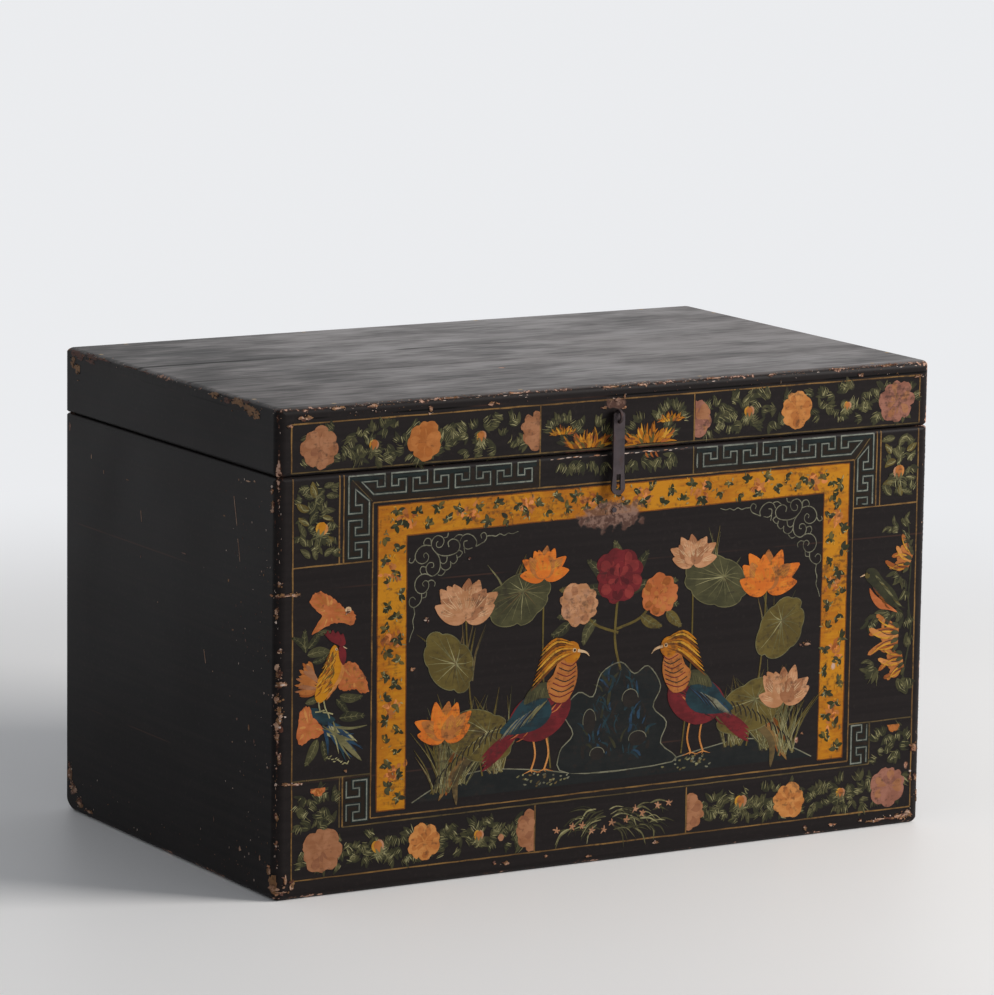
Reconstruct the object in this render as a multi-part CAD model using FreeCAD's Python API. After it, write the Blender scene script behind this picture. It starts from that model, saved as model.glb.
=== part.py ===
import FreeCAD, Part
import math
import os
from FreeCAD import Vector

# A lidded storage chest of dovetailed boards, lacquered all over, with an iron hasp on the
# front and two plate hinges on the back. Millimetres, +Z up, front face towards -Y.
# The origin is the middle of the underside.

# Overall size
chest_width = 800.0
chest_depth = 490.0
base_height = 440.0
lid_height = 70.7
seam_gap = 0.3

# Boards
wall = 20.0
lid_board = 12.0
bottom_board = 14.0
lower_course = 122.0
middle_course = 200.0
lid_front_board_width = 201.0
lid_middle_board_width = 114.0
bottom_plank_count = 3
bottom_rebate = 8.0

# Outer edges, rounded by use, and the lower corners, worn off by being set down
corner_round = 10.0
seam_round = 5.0
foot_round = 8.0
lid_top_round = 7.5
foot_wear_reach = 30.0
foot_wear_round = 48.0

# Dovetailed corners
tail_pitch = 60.0
lid_tail_pitch = 29.0
tail_share = 0.56
tail_slope = 1.0 / 7.0

# Lip strips inside the rim, which locate the closed lid
lip_thick = 8.0
lip_height = 50.0
lip_rise = 10.0
lip_chamfer = 2.5
lip_clear = 1.2

# Square bamboo dowels and pegs
wall_dowel = 8.0
wall_dowel_length = 40.0
lid_dowel = 5.0
lid_dowel_length = 30.0
peg = 4.5
lid_peg_bite = 22.0
lip_peg_bite = 12.0
peg_end_inset = 60.0
peg_pitch = 170.0

# Iron nails
nail_shank = 2.8
nail_length = 15.0
nail_head = 7.0
nail_crown = 2.0
nail_head_height = 1.8
bottom_nail_head = 6.0
bottom_nail_head_thick = 1.6
bottom_nail_sink = 0.6
bottom_nail_bite = 18.0

# Plate hinges on the back
hinge_spread = 500.0
leaf_width = 64.0
leaf_height = 40.0
leaf_thick = 1.8
leaf_corner = 6.0
leaf_nail_inset = 10.0
knuckle_r = 4.4
knuckle_count = 3
knuckle_gap = 0.4
hinge_pin_r = 2.4
hinge_pin_clear = 0.05
hinge_pin_stand = 1.2
hinge_face_gap = 0.4

# Hasp on the front, hung from the eye of a split cotter in the lid
hasp_rise = 38.0
hasp_drop = 83.5
strap_width = 13.5
strap_thick = 2.6
strap_end_width = 16.5
strap_flare = 16.0
strap_corner = 2.5
slot_width = 5.2
slot_length = 17.0
slot_to_tip = 5.0
cotter_half = 1.3
cotter_eye_r = 5.9
cotter_face_gap = 0.2
cotter_hole_clear = 0.4
clench_length = 10.0

# Stub of the old keeper below the tip of the hasp
keeper_below_tip = 17.0
keeper_r = 2.75
keeper_stand = 1.6
keeper_bite = 14.0
keeper_clear = 0.05

# Values worked out from the sizes above
half_w = chest_width / 2
half_d = chest_depth / 2
inner_w = half_w - wall
inner_d = half_d - wall
lid_bottom = base_height + seam_gap
lid_top = lid_bottom + lid_height
rail_top = lid_top - lid_board
course_heights = [0.0, lower_course, lower_course + middle_course, base_height]
course_names = ["lower", "middle", "upper"]
hinge_y = half_d + hinge_face_gap + knuckle_r
hinge_z = base_height + seam_gap / 2
pivot_y = -half_d - cotter_face_gap - cotter_half - cotter_eye_r
pivot_z = lid_bottom + hasp_rise
strap_hole_r = cotter_half * math.sqrt(2) + cotter_hole_clear
strap_top = cotter_eye_r - strap_hole_r
tip_z = pivot_z - hasp_drop
keeper_z = tip_z - keeper_below_tip

X = Vector(1, 0, 0)
Y = Vector(0, 1, 0)
Z = Vector(0, 0, 1)


def one_solid(shape):
    """The single solid in a shape, with leftover seams removed."""
    clean = shape.removeSplitter()
    if len(clean.Solids) != 1:
        raise ValueError("expected one solid, found %d" % len(clean.Solids))
    return clean.Solids[0]


def block(x0, x1, y0, y1, z0, z1):
    return Part.makeBox(x1 - x0, y1 - y0, z1 - z0, Vector(x0, y0, z0))


def prism(points, along):
    """A straight prism on a closed outline of corner points."""
    outline = Part.makePolygon(points + points[:1])
    return Part.Face(outline).extrude(along)


def spread(start, end, pitch):
    """An even number of places about one pitch apart, so that none falls on the middle line."""
    pairs = max(1, round((end - start) / pitch / 2))
    steps = 2 * pairs - 1
    return [start + (end - start) * i / steps for i in range(steps + 1)]


def edges_along(shape, axis, level=None):
    """The straight edges of a block that run along an axis, at one height if that is given."""
    found = []
    for edge in shape.Edges:
        start, end = (v.Point for v in edge.Vertexes)
        at_level = level is None or abs(start.z - level) < seam_gap / 2
        if at_level and (end - start).cross(axis).Length < seam_gap / 2:
            found.append(edge)
    return found


def rounded_block(z0, z1, bottom_r, top_r):
    """The outer envelope of the base or the lid: a block rounded in plan, in both elevations and across its corners."""
    sharp = block(-half_w, half_w, -half_d, half_d, z0, z1)
    shape = sharp.makeFillet(corner_round, edges_along(sharp, Z))
    across = (half_w + half_d) / math.sqrt(2) - 0.4 * corner_round
    diamond = block(-across, across, -across, across, z0, z1)
    for outline, turn in ((sharp, 0), (diamond, 45)):
        for axis in (X, Y):
            view = outline.makeFillet(bottom_r, edges_along(outline, axis, z0))
            view = view.makeFillet(top_r, edges_along(view, axis, z1))
            view.rotate(Vector(0, 0, 0), Z, turn)
            shape = shape.common(view)
    return shape


def worn_off(side_x, side_y):
    """What is gone from a worn lower corner: the part of a small block that lies outside a ball."""
    reach = foot_wear_reach
    inset = (reach + math.sqrt(3 * foot_wear_round ** 2 - 2 * reach ** 2)) / 3
    x = side_x * half_w
    y = side_y * half_d
    x0, x1 = sorted((x, x - side_x * reach))
    y0, y1 = sorted((y, y - side_y * reach))
    ball = Part.makeSphere(foot_wear_round, Vector(x - side_x * inset, y - side_y * inset, inset))
    return block(x0, x1, y0, y1, 0, reach).cut(ball)


# Dovetailed boards

def tailed_board(y0, z0, z1, pitch):
    """A front or back board whose two ends are cut to flared tails."""
    count = max(1, round((z1 - z0) / pitch))
    step = (z1 - z0) / count
    root = step * tail_share / 2
    tip = root + wall * tail_slope
    right = [(inner_w, z0)]
    for i in range(count):
        middle = z0 + step * (i + 0.5)
        right += [(inner_w, middle - root), (half_w, middle - tip)]
        right += [(half_w, middle + tip), (inner_w, middle + root)]
    right.append((inner_w, z1))
    left = [(-x, z) for x, z in reversed(right)]
    return prism([Vector(x, y0, z) for x, z in right + left], Y * wall)


def pinned_board(x0, z0, z1, tailed):
    """An end board that fills the spaces between the tails of the front and back boards."""
    return block(x0, x0 + wall, -half_d, half_d, z0, z1).cut(tailed)


def board_ring(z0, z1, pitch, envelope):
    """Four boards dovetailed at their corners, in the order front, back, left, right."""
    front = tailed_board(-half_d, z0, z1, pitch)
    back = tailed_board(inner_d, z0, z1, pitch)
    left = pinned_board(-half_w, z0, z1, [front, back])
    right = pinned_board(inner_w, z0, z1, [front, back])
    return [board.common(envelope) for board in (front, back, left, right)]


wall_names = ["front", "back", "left", "right"]


def base_walls():
    envelope = rounded_block(0, base_height, foot_round, seam_round)
    envelope = envelope.cut(worn_off(-1, 1))
    reach_x = inner_w + bottom_rebate
    reach_y = inner_d + bottom_rebate
    rebate = block(-reach_x, reach_x, -reach_y, reach_y, 0, bottom_board)
    boards = {}
    for course, z0, z1 in zip(course_names, course_heights, course_heights[1:]):
        for name, board in zip(wall_names, board_ring(z0, z1, tail_pitch, envelope)):
            boards["%s_%s_plank" % (name, course)] = board.cut(rebate)
    return boards


def lid_boards():
    """Rails dovetailed into a frame, with three boards laid over them."""
    envelope = rounded_block(lid_bottom, lid_top, seam_round, lid_top_round)
    boards = {}
    for name, rail in zip(wall_names, board_ring(lid_bottom, rail_top, lid_tail_pitch, envelope)):
        boards["lid_%s_rail" % name] = rail
    edge = -half_d
    for name, width in (("front", lid_front_board_width), ("middle", lid_middle_board_width), ("back", 0)):
        far = edge + width if width else half_d
        cover = block(-half_w, half_w, edge, far, rail_top, lid_top)
        boards["lid_%s_board" % name] = cover.common(envelope)
        edge = far
    return boards


def bottom_planks():
    reach_x = inner_w + bottom_rebate
    reach_y = inner_d + bottom_rebate
    width = 2 * reach_y / bottom_plank_count
    planks = {}
    for i in range(bottom_plank_count):
        y0 = -reach_y + i * width
        planks["bottom_plank_%d" % (i + 1)] = block(-reach_x, reach_x, y0, y0 + width, 0, bottom_board)
    return planks


def lip_strips():
    """Chamfered strips inside the front and the two ends, standing a little above the rim."""
    low = base_height + lip_rise - lip_height
    high = base_height + lip_rise
    setback = lip_clear
    shoulder = base_height
    section = [(0, low), (lip_thick, low), (lip_thick, high), (setback + lip_chamfer, high)]
    section += [(setback, high - lip_chamfer), (setback, shoulder), (0, shoulder)]
    front_at = [Vector(-inner_w, -inner_d + depth, z) for depth, z in section]
    left_at = [Vector(-inner_w + depth, -inner_d + lip_thick, z) for depth, z in section]
    right_at = [Vector(inner_w - depth, -inner_d + lip_thick, z) for depth, z in section]
    side_length = 2 * inner_d - lip_thick - lip_clear
    front = prism(front_at, X * 2 * inner_w)
    ends = [block(s * inner_w - lip_clear, s * inner_w + lip_clear, -inner_d, inner_d, shoulder, high)
            for s in (-1, 1)]
    return {"front_lip": front.cut(ends),
            "left_lip": prism(left_at, Y * side_length),
            "right_lip": prism(right_at, Y * side_length)}


# Dowels, pegs and nails

def square_pin(start, along, side, length):
    """A square pin from a start point along one of the main axes."""
    across = [axis for axis in (X, Y, Z) if abs(axis.dot(along)) < 0.5]
    corner = start - across[0] * side / 2 - across[1] * side / 2
    points = [corner, corner + across[0] * side, corner + (across[0] + across[1]) * side,
              corner + across[1] * side]
    return prism(points, along * length)


def wall_dowels():
    """Upright dowels that line up the courses of planks, hidden in their edges."""
    middle = wall / 2
    places = []
    for x in spread(-inner_w + peg_end_inset, inner_w - peg_end_inset, 2 * peg_pitch):
        places += [(x, -half_d + middle), (x, half_d - middle)]
    for y in spread(-inner_d + peg_end_inset, inner_d - peg_end_inset, 2 * peg_pitch):
        places += [(-half_w + middle, y), (half_w - middle, y)]
    half = wall_dowel_length / 2
    return [square_pin(Vector(x, y, z - half), Z, wall_dowel, wall_dowel_length)
            for z in course_heights[1:-1] for x, y in places]


def lid_dowels():
    """Level dowels across the edge joints of the lid boards."""
    first = -half_d + lid_front_board_width
    joints = [first, first + lid_middle_board_width]
    level = rail_top + lid_board / 2
    places = spread(-inner_w + peg_end_inset, inner_w - peg_end_inset, 2 * peg_pitch)
    return [square_pin(Vector(x, y - lid_dowel_length / 2, level), Y, lid_dowel, lid_dowel_length)
            for y in joints for x in places]


def rim_places(inset, pitch):
    """Places round the four walls, a set distance in from the outer faces."""
    x_end = half_w - inset
    y_end = half_d - inset
    places = []
    for x in spread(-x_end + peg_end_inset, x_end - peg_end_inset, pitch):
        places += [(x, -y_end), (x, y_end)]
    for y in spread(-y_end + peg_end_inset, y_end - peg_end_inset, pitch):
        places += [(-x_end, y), (x_end, y)]
    return places


def lid_pegs():
    length = lid_board + lid_peg_bite
    return [square_pin(Vector(x, y, lid_top - length), Z, peg, length)
            for x, y in rim_places(wall / 2, peg_pitch)]


def bottom_nails():
    """Square nails with sunk heads, driven up through the bottom planks into the walls."""
    inset = wall - bottom_rebate / 2
    nails = []
    for x, y in rim_places(inset, peg_pitch):
        head = square_pin(Vector(x, y, bottom_nail_sink), Z, bottom_nail_head, bottom_nail_head_thick)
        shank_length = bottom_board + bottom_nail_bite - bottom_nail_sink
        shank = square_pin(Vector(x, y, bottom_nail_sink), Z, nail_shank, shank_length)
        nails.append(one_solid(head.fuse(shank)))
    return nails


def sunk_room(nails):
    """The space that the sunk nail heads open to below."""
    return [square_pin(Vector(n.BoundBox.Center.x, n.BoundBox.Center.y, 0), Z, bottom_nail_head,
                       bottom_nail_sink) for n in nails]


def lip_pegs():
    """Level pegs that hold the lip strips to the walls."""
    level = base_height - (lip_height - lip_rise) / 2
    length = lip_thick + lip_peg_bite
    pegs = [square_pin(Vector(x, -inner_d + lip_thick, level), -Y, peg, length)
            for x in spread(-inner_w + peg_end_inset, inner_w - peg_end_inset, peg_pitch)]
    for y in spread(-inner_d + peg_end_inset, inner_d - peg_end_inset, peg_pitch):
        pegs.append(square_pin(Vector(-inner_w + lip_thick, y, level), -X, peg, length))
        pegs.append(square_pin(Vector(inner_w - lip_thick, y, level), X, peg, length))
    return pegs


def rose_head(x, y, z):
    """A forged nail head: a low blunt pyramid standing on a plane of constant y, towards +Y."""
    rim = nail_head / 2
    crown = nail_crown / 2
    return Part.makeWedge(x - rim, y, z - rim, z - crown, x - crown,
                          x + rim, y + nail_head_height, z + rim, z + crown, x + crown)


def leaf_nails(hinge_x, up):
    """The four nails of one hinge leaf, above the axis where up is 1 and below where it is -1."""
    near = hinge_z + up * (knuckle_r + knuckle_gap)
    rows = [near + up * leaf_nail_inset, near + up * (leaf_height - leaf_nail_inset)]
    face = half_d + leaf_thick
    reach = leaf_width / 2 - leaf_nail_inset
    nails = []
    for x in (hinge_x - reach, hinge_x + reach):
        for z in rows:
            shank = square_pin(Vector(x, face, z), -Y, nail_shank, nail_length)
            nails.append(one_solid(rose_head(x, face, z).fuse(shank)))
    return nails


# Hinges

def knuckle_spans(hinge_x):
    """The x range of each knuckle, with a running gap between neighbours."""
    pitch = (leaf_width + knuckle_gap) / knuckle_count
    start = hinge_x - leaf_width / 2
    return [(start + i * pitch, start + (i + 1) * pitch - knuckle_gap) for i in range(knuckle_count)]


def hinge_leaf(hinge_x, up):
    """A nailed plate whose knuckles take every other place along the pin."""
    near = hinge_z + up * (knuckle_r + knuckle_gap)
    far = near + up * leaf_height
    left = hinge_x - leaf_width / 2
    right = hinge_x + leaf_width / 2
    outline = [(left, near), (right, near), (right, far - up * leaf_corner), (right - leaf_corner, far),
               (left + leaf_corner, far), (left, far - up * leaf_corner)]
    leaf = prism([Vector(x, half_d, z) for x, z in outline], Y * leaf_thick)
    for x0, x1 in knuckle_spans(hinge_x)[0 if up < 0 else 1::2]:
        neck_z = sorted((near, hinge_z))
        neck = block(x0, x1, half_d, half_d + leaf_thick, neck_z[0], neck_z[1])
        roll = Part.makeCylinder(knuckle_r, x1 - x0, Vector(x0, hinge_y, hinge_z), X)
        leaf = leaf.fuse([neck, roll])
    bore_r = hinge_pin_r + hinge_pin_clear
    bore = Part.makeCylinder(bore_r, leaf_width, Vector(left, hinge_y, hinge_z), X)
    return one_solid(leaf.cut(bore))


def hinge_pin(hinge_x):
    """A plain pin that stands out a little at both ends of the knuckles."""
    reach = leaf_width / 2 + hinge_pin_stand
    return Part.makeCylinder(hinge_pin_r, 2 * reach, Vector(hinge_x - reach, hinge_y, hinge_z), X)


# Hasp

def hasp_strap():
    """A flat strap that flares to a round end, with a hole for the eye and a slot for the keeper."""
    half = strap_width / 2
    end_r = strap_end_width / 2
    round_z = tip_z + end_r
    flare_z = round_z + strap_flare
    top_z = pivot_z + strap_top

    def at(x, z):
        return Vector(x, pivot_y - strap_thick / 2, z)

    sides = [Part.LineSegment(at(-end_r, round_z), at(-half, flare_z)),
             Part.LineSegment(at(-half, flare_z), at(-half, top_z)),
             Part.LineSegment(at(-half, top_z), at(half, top_z)),
             Part.LineSegment(at(half, top_z), at(half, flare_z)),
             Part.LineSegment(at(half, flare_z), at(end_r, round_z)),
             Part.Arc(at(end_r, round_z), at(0, tip_z), at(-end_r, round_z))]
    strap = Part.Face(Part.Wire([s.toShape() for s in sides])).extrude(Y * strap_thick)
    strap = strap.makeFillet(strap_corner, edges_along(strap, Y, top_z))
    hole = Part.makeCylinder(strap_hole_r, strap_thick, at(0, pivot_z - cotter_eye_r), Y)
    slot_low = tip_z + slot_to_tip
    slot = block(-slot_width / 2, slot_width / 2, pivot_y - strap_thick, pivot_y + strap_thick,
                 slot_low, slot_low + slot_length)
    return one_solid(strap.cut([hole, slot]))


def hasp_cotter():
    """A split cotter of square bar: an eye outside, a shank through the rail and two clenched ends."""
    eye_start = Vector(-cotter_half, pivot_y, pivot_z)
    outer = Part.makeCylinder(cotter_eye_r + cotter_half, 2 * cotter_half, eye_start, X)
    inner = Part.makeCylinder(cotter_eye_r - cotter_half, 2 * cotter_half, eye_start, X)
    eye = outer.cut(inner)
    side = 2 * cotter_half
    shank_start = Vector(0, pivot_y + cotter_eye_r, pivot_z)
    shank = square_pin(shank_start, Y, side, -inner_d + cotter_half - shank_start.y)
    clench = block(-cotter_half, cotter_half, -inner_d, -inner_d + cotter_half,
                   pivot_z - clench_length, pivot_z + clench_length)
    return one_solid(eye.fuse([shank, clench]))


def keeper_stub(clear=0):
    """What is left of the keeper that the slot of the hasp once dropped over, or its seat."""
    start = Vector(0, -half_d + keeper_bite, keeper_z)
    return Part.makeCylinder(keeper_r + clear, keeper_bite + keeper_stand, start, -Y)


def cut_all(nodes, names, tools):
    """Cut the seats of fasteners into each named node that they reach."""
    for name in names:
        reached = [t for t in tools if t.BoundBox.intersect(nodes[name].BoundBox)]
        if reached:
            nodes[name] = nodes[name].cut(reached)


def build():
    walls = base_walls()
    floor = bottom_planks()
    lips = lip_strips()
    lid = lid_boards()
    nodes = {**walls, **floor, **lips, **lid}

    groups = {"wall_dowels": wall_dowels(), "bottom_nails": bottom_nails(), "lip_pegs": lip_pegs(),
              "lid_dowels": lid_dowels(), "lid_pegs": lid_pegs()}
    base_nails = []
    top_nails = []
    for side, x in (("left", -hinge_spread / 2), ("right", hinge_spread / 2)):
        base_nails += leaf_nails(x, -1)
        top_nails += leaf_nails(x, 1)
        nodes["%s_hinge_base_leaf" % side] = hinge_leaf(x, -1).cut(base_nails)
        nodes["%s_hinge_lid_leaf" % side] = hinge_leaf(x, 1).cut(top_nails)
        nodes["%s_hinge_pin" % side] = hinge_pin(x)
    groups["base_hinge_nails"] = base_nails
    groups["lid_hinge_nails"] = top_nails
    cotter = hasp_cotter()

    cut_all(nodes, walls, groups["wall_dowels"] + groups["bottom_nails"] + groups["lip_pegs"])
    cut_all(nodes, walls, base_nails + [keeper_stub(keeper_clear)])
    cut_all(nodes, floor, groups["bottom_nails"] + sunk_room(groups["bottom_nails"]))
    cut_all(nodes, lips, groups["lip_pegs"])
    cut_all(nodes, lid, groups["lid_dowels"] + groups["lid_pegs"] + top_nails + [cotter])

    nodes["hasp_cotter"] = cotter
    nodes["hasp_strap"] = hasp_strap()
    nodes["keeper_stub"] = keeper_stub()
    nodes = {name: one_solid(shape) for name, shape in nodes.items()}
    nodes.update({name: Part.makeCompound(solids) for name, solids in groups.items()})
    return nodes


os.makedirs("parts", exist_ok=True)
for node_name, node_shape in build().items():
    node_shape.exportStep("parts/%s.step" % node_name)
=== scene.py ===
import math
import random

import bpy
from mathutils import Matrix, Vector
from mathutils.bvhtree import BVHTree


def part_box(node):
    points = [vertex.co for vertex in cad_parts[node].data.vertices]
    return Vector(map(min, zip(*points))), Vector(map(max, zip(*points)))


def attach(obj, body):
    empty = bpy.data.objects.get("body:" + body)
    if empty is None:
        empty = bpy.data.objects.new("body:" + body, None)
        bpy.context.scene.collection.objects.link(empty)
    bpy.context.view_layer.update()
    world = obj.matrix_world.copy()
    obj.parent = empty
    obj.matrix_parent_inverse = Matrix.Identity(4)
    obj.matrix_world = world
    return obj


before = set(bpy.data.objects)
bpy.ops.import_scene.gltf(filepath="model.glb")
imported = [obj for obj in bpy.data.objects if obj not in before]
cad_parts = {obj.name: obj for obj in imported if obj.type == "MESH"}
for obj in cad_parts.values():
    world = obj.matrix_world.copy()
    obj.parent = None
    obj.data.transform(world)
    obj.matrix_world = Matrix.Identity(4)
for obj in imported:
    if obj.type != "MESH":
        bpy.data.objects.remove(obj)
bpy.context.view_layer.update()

# Sizes are in millimetres on the chest's faces, and turned to metres when a piece is made.
MM = 0.001
FRONT_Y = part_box("front_middle_plank")[0].y
LEFT_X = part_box("left_middle_plank")[0].x
RIGHT_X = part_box("right_middle_plank")[1].x
BACK_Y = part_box("back_middle_plank")[1].y
TOP_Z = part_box("lid_middle_board")[1].z
BASE_TOP_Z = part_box("front_upper_plank")[1].z

# Joints between the boards, as heights on the walls and depths on the lid.
WALL_JOINTS = [
    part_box(name)[1].z for name in ("front_lower_plank", "front_middle_plank", "lid_front_rail")
]
LID_JOINTS = [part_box(name)[1].y for name in ("lid_front_board", "lid_middle_board")]

# Rounding of the boards along the seam.
SEAM_ROUND = 5.0

# Spots on the front that the hasp has rubbed: middle, half width and half height.
RUB_SPOTS = ((-3.0, 373.0, 41.0, 17.0), (1.0, 491.0, 13.0, 6.5))

# Paint lies on the boards in thin coats, each a little prouder than the one below.
COAT = 0.06
GOLDEN = 0.618034
PAINT_BODY = 0.9

# How far wear reaches in from edges and corners, and where lacquer gives way to bare wood, in metres.
EDGE_WEAR = 0.010
CORNER_WEAR = 0.034
LACQUER_ENDS = 0.0075
WOOD_BEGINS = 0.0095

# Share of the spots on a face that stay whole.
UNHURT = 0.86

# Tones that the finishes are mixed from.
WOOD_DARK = (0.15, 0.075, 0.034)
WOOD_LIGHT = (0.30, 0.175, 0.09)
WOOD_STAIN = (0.10, 0.052, 0.028)
WOOD_BAND = (0.12, 0.06, 0.028)
BAMBOO_DARK = (0.24, 0.15, 0.06)
BAMBOO_LIGHT = (0.40, 0.28, 0.13)
IRON_DARK = (0.020, 0.015, 0.017)
IRON_LIGHT = (0.060, 0.045, 0.048)
IRON_RUST = (0.060, 0.024, 0.016)
LACQUER_DARK = (0.0062, 0.0052, 0.0054)
LACQUER_LIGHT = (0.0112, 0.0090, 0.0088)
LACQUER_FLECK = (0.022, 0.017, 0.016)
# Painted light on the front: a lighter, browner black for the light the front catches.
FRONT_LIGHT_TONE = (0.0165, 0.0130, 0.0128)
JOINT_BROWN = (0.050, 0.024, 0.017)
# Painted shade in the joint where the lid's boards sit on the rails.
JOINT_SHADE = (0.0012, 0.0010, 0.0010)
LID_BLACK = (0.012, 0.0108, 0.0106)
# Painted sheen and wear: the grey of the lid's worn top stands in partly for the sheen it shows.
LID_SHEEN_GREY = (0.112, 0.095, 0.090)
SCRATCH_BLACK = (0.006, 0.0050, 0.0046)
# Painted shade in the lid's open joint.
CRACK_SHADE = (0.003, 0.0028, 0.0028)
BRUISE = (0.052, 0.021, 0.013)
GROUND_RED = (0.19, 0.080, 0.045)
GROUND_PALE = (0.44, 0.27, 0.20)
SMUDGE_DARK = (0.080, 0.041, 0.031)
SMUDGE_LIGHT = (0.20, 0.118, 0.090)
PAINT_THIN = (0.017, 0.012, 0.010)
PAINT_NICK = (0.42, 0.27, 0.20)


# Materials
class Finish:
    """A material with its shader, and short ways to add the nodes behind it."""

    def __init__(self, name):
        self.material = bpy.data.materials.new(name)
        self.material.use_nodes = True
        self.tree = self.material.node_tree
        self.shader = self.tree.nodes["Principled BSDF"]
        self.place = self.tree.nodes.new("ShaderNodeTexCoord").outputs["Object"]

    def join(self, value, socket):
        if isinstance(value, bpy.types.NodeSocket):
            self.tree.links.new(value, socket)
        else:
            socket.default_value = value

    def node(self, kind, **inputs):
        """A new node of this kind, with its inputs joined by name, an underscore for each space."""
        node = self.tree.nodes.new("ShaderNode" + kind)
        for name, value in inputs.items():
            self.join(value, node.inputs[name.replace("_", " ")])
        return node

    def math(self, operation, first, second=0.0, clamp=False):
        node = self.node("Math")
        node.operation = operation
        node.use_clamp = clamp
        self.join(first, node.inputs[0])
        self.join(second, node.inputs[1])
        return node.outputs[0]

    def times(self, first, second):
        return self.math("MULTIPLY", first, second)

    def plus(self, first, second, clamp=False):
        return self.math("ADD", first, second, clamp)

    def gap(self, first, second):
        return self.math("ABSOLUTE", self.math("SUBTRACT", first, second))

    def weighed(self, *pairs):
        """The sum of some values, each times its weight."""
        total, *others = [self.times(value, weight) for value, weight in pairs]
        for other in others:
            total = self.plus(total, other)
        return total

    def distance(self, across, up):
        """How far off a point is that lies so far across and so far up."""
        return self.math("SQRT", self.weighed((across, across), (up, up)))

    def axes(self):
        return self.node("SeparateXYZ", Vector=self.place).outputs

    def stretched(self, scale):
        return self.node("Mapping", Vector=self.place, Scale=scale).outputs[0]

    def noise(self, scale, detail=4.0, vector=None, twist=0.0):
        where = vector or self.place
        node = self.node("TexNoise", Vector=where, Scale=scale, Detail=detail, Distortion=twist)
        return node.outputs["Fac"]

    def cells(self, scale, vector):
        return self.node("TexVoronoi", Vector=vector, Scale=scale).outputs

    def between(self, value, low, high):
        """Goes softly from 0 to 1 while the value goes from low to high."""
        node = self.node("MapRange", Value=value, From_Min=low, From_Max=high)
        node.interpolation_type = "SMOOTHSTEP"
        return node.outputs["Result"]

    def spread(self, value, low, high):
        """Goes evenly from low to high while the value goes from 0 to 1."""
        return self.node("MapRange", Value=value, To_Min=low, To_Max=high).outputs["Result"]

    def mix(self, share, first, second):
        node = self.node("Mix")
        node.data_type = "RGBA"
        self.join(share, node.inputs["Factor"])
        self.join(colour(first), node.inputs["A"])
        self.join(colour(second), node.inputs["B"])
        return node.outputs["Result"]

    def relief(self, height, depth):
        return self.node("Bump", Strength=1.0, Distance=depth, Height=height).outputs["Normal"]

    def finish(self, tone, rough, normal=None, gloss=0.5):
        self.join(colour(tone), self.shader.inputs["Base Color"])
        self.join(rough, self.shader.inputs["Roughness"])
        self.shader.inputs["Specular IOR Level"].default_value = gloss
        if normal:
            self.join(normal, self.shader.inputs["Normal"])
        return self.material


def colour(value):
    if isinstance(value, tuple):
        return (*value, 1.0)
    return value


def smallest(f, *values):
    """The least of some values."""
    least = values[0]
    for value in values[1:]:
        least = f.math("MINIMUM", least, value)
    return least


def edge_gaps(f):
    """How far a point lies from the chest's ends, its front or back, and its top, seam or foot."""
    x, y, z = f.axes()
    end = f.math("SUBTRACT", RIGHT_X, f.math("ABSOLUTE", x))
    front = f.math("SUBTRACT", BACK_Y, f.math("ABSOLUTE", y))
    to_foot = f.math("ABSOLUTE", z)
    return end, front, f.gap(z, TOP_Z), f.gap(z, BASE_TOP_Z), to_foot


def middle_of(f, a, b, c):
    """The middle one of three values, which is small near an edge and larger on a face."""
    low = f.math("MINIMUM", a, b)
    high = f.math("MAXIMUM", a, b)
    return f.math("MAXIMUM", low, f.math("MINIMUM", high, c))


def nicks(f):
    """Small knocks scattered over the faces."""
    wander = f.noise(90.0, 2.0)
    spots = f.cells(21.0, f.stretched((1.0, 1.0, 0.7)))
    ragged = f.plus(spots["Distance"], f.spread(wander, -0.05, 0.05))
    pit = f.between(ragged, 0.075, 0.045)
    chosen = f.node("SeparateColor", Color=spots["Color"]).outputs[0]
    return f.times(pit, f.math("GREATER_THAN", chosen, UNHURT))


def facing_up(f):
    """How far the face looks up or down, from -1 to 1."""
    normal = f.node("TexCoord").outputs["Normal"]
    return f.node("SeparateXYZ", Vector=normal).outputs[2]


def old_wood(f):
    """The tone of bare softwood with its grain along the board, and its fibre."""
    flat = f.between(f.math("ABSOLUTE", facing_up(f)), 0.6, 0.9)
    grains = []
    for scale, detail, bend in ((2.6, 6.0, 0.6), (0.55, 3.0, 1.5)):
        upright = f.noise(scale, detail, f.stretched((3.0, 3.0, 60.0)), bend)
        lying = f.noise(scale, detail, f.stretched((3.0, 60.0, 3.0)), bend)
        change = f.times(f.math("SUBTRACT", lying, upright), flat)
        grains.append(f.plus(upright, change))
    fibre, bands = grains
    tone = f.mix(f.between(fibre, 0.3, 0.72), WOOD_DARK, WOOD_LIGHT)
    stain = f.noise(5.0, 4.0)
    tone = f.mix(f.between(stain, 0.45, 0.75), tone, WOOD_STAIN)
    return f.mix(f.between(bands, 0.5, 0.8), tone, WOOD_BAND), fibre


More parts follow.
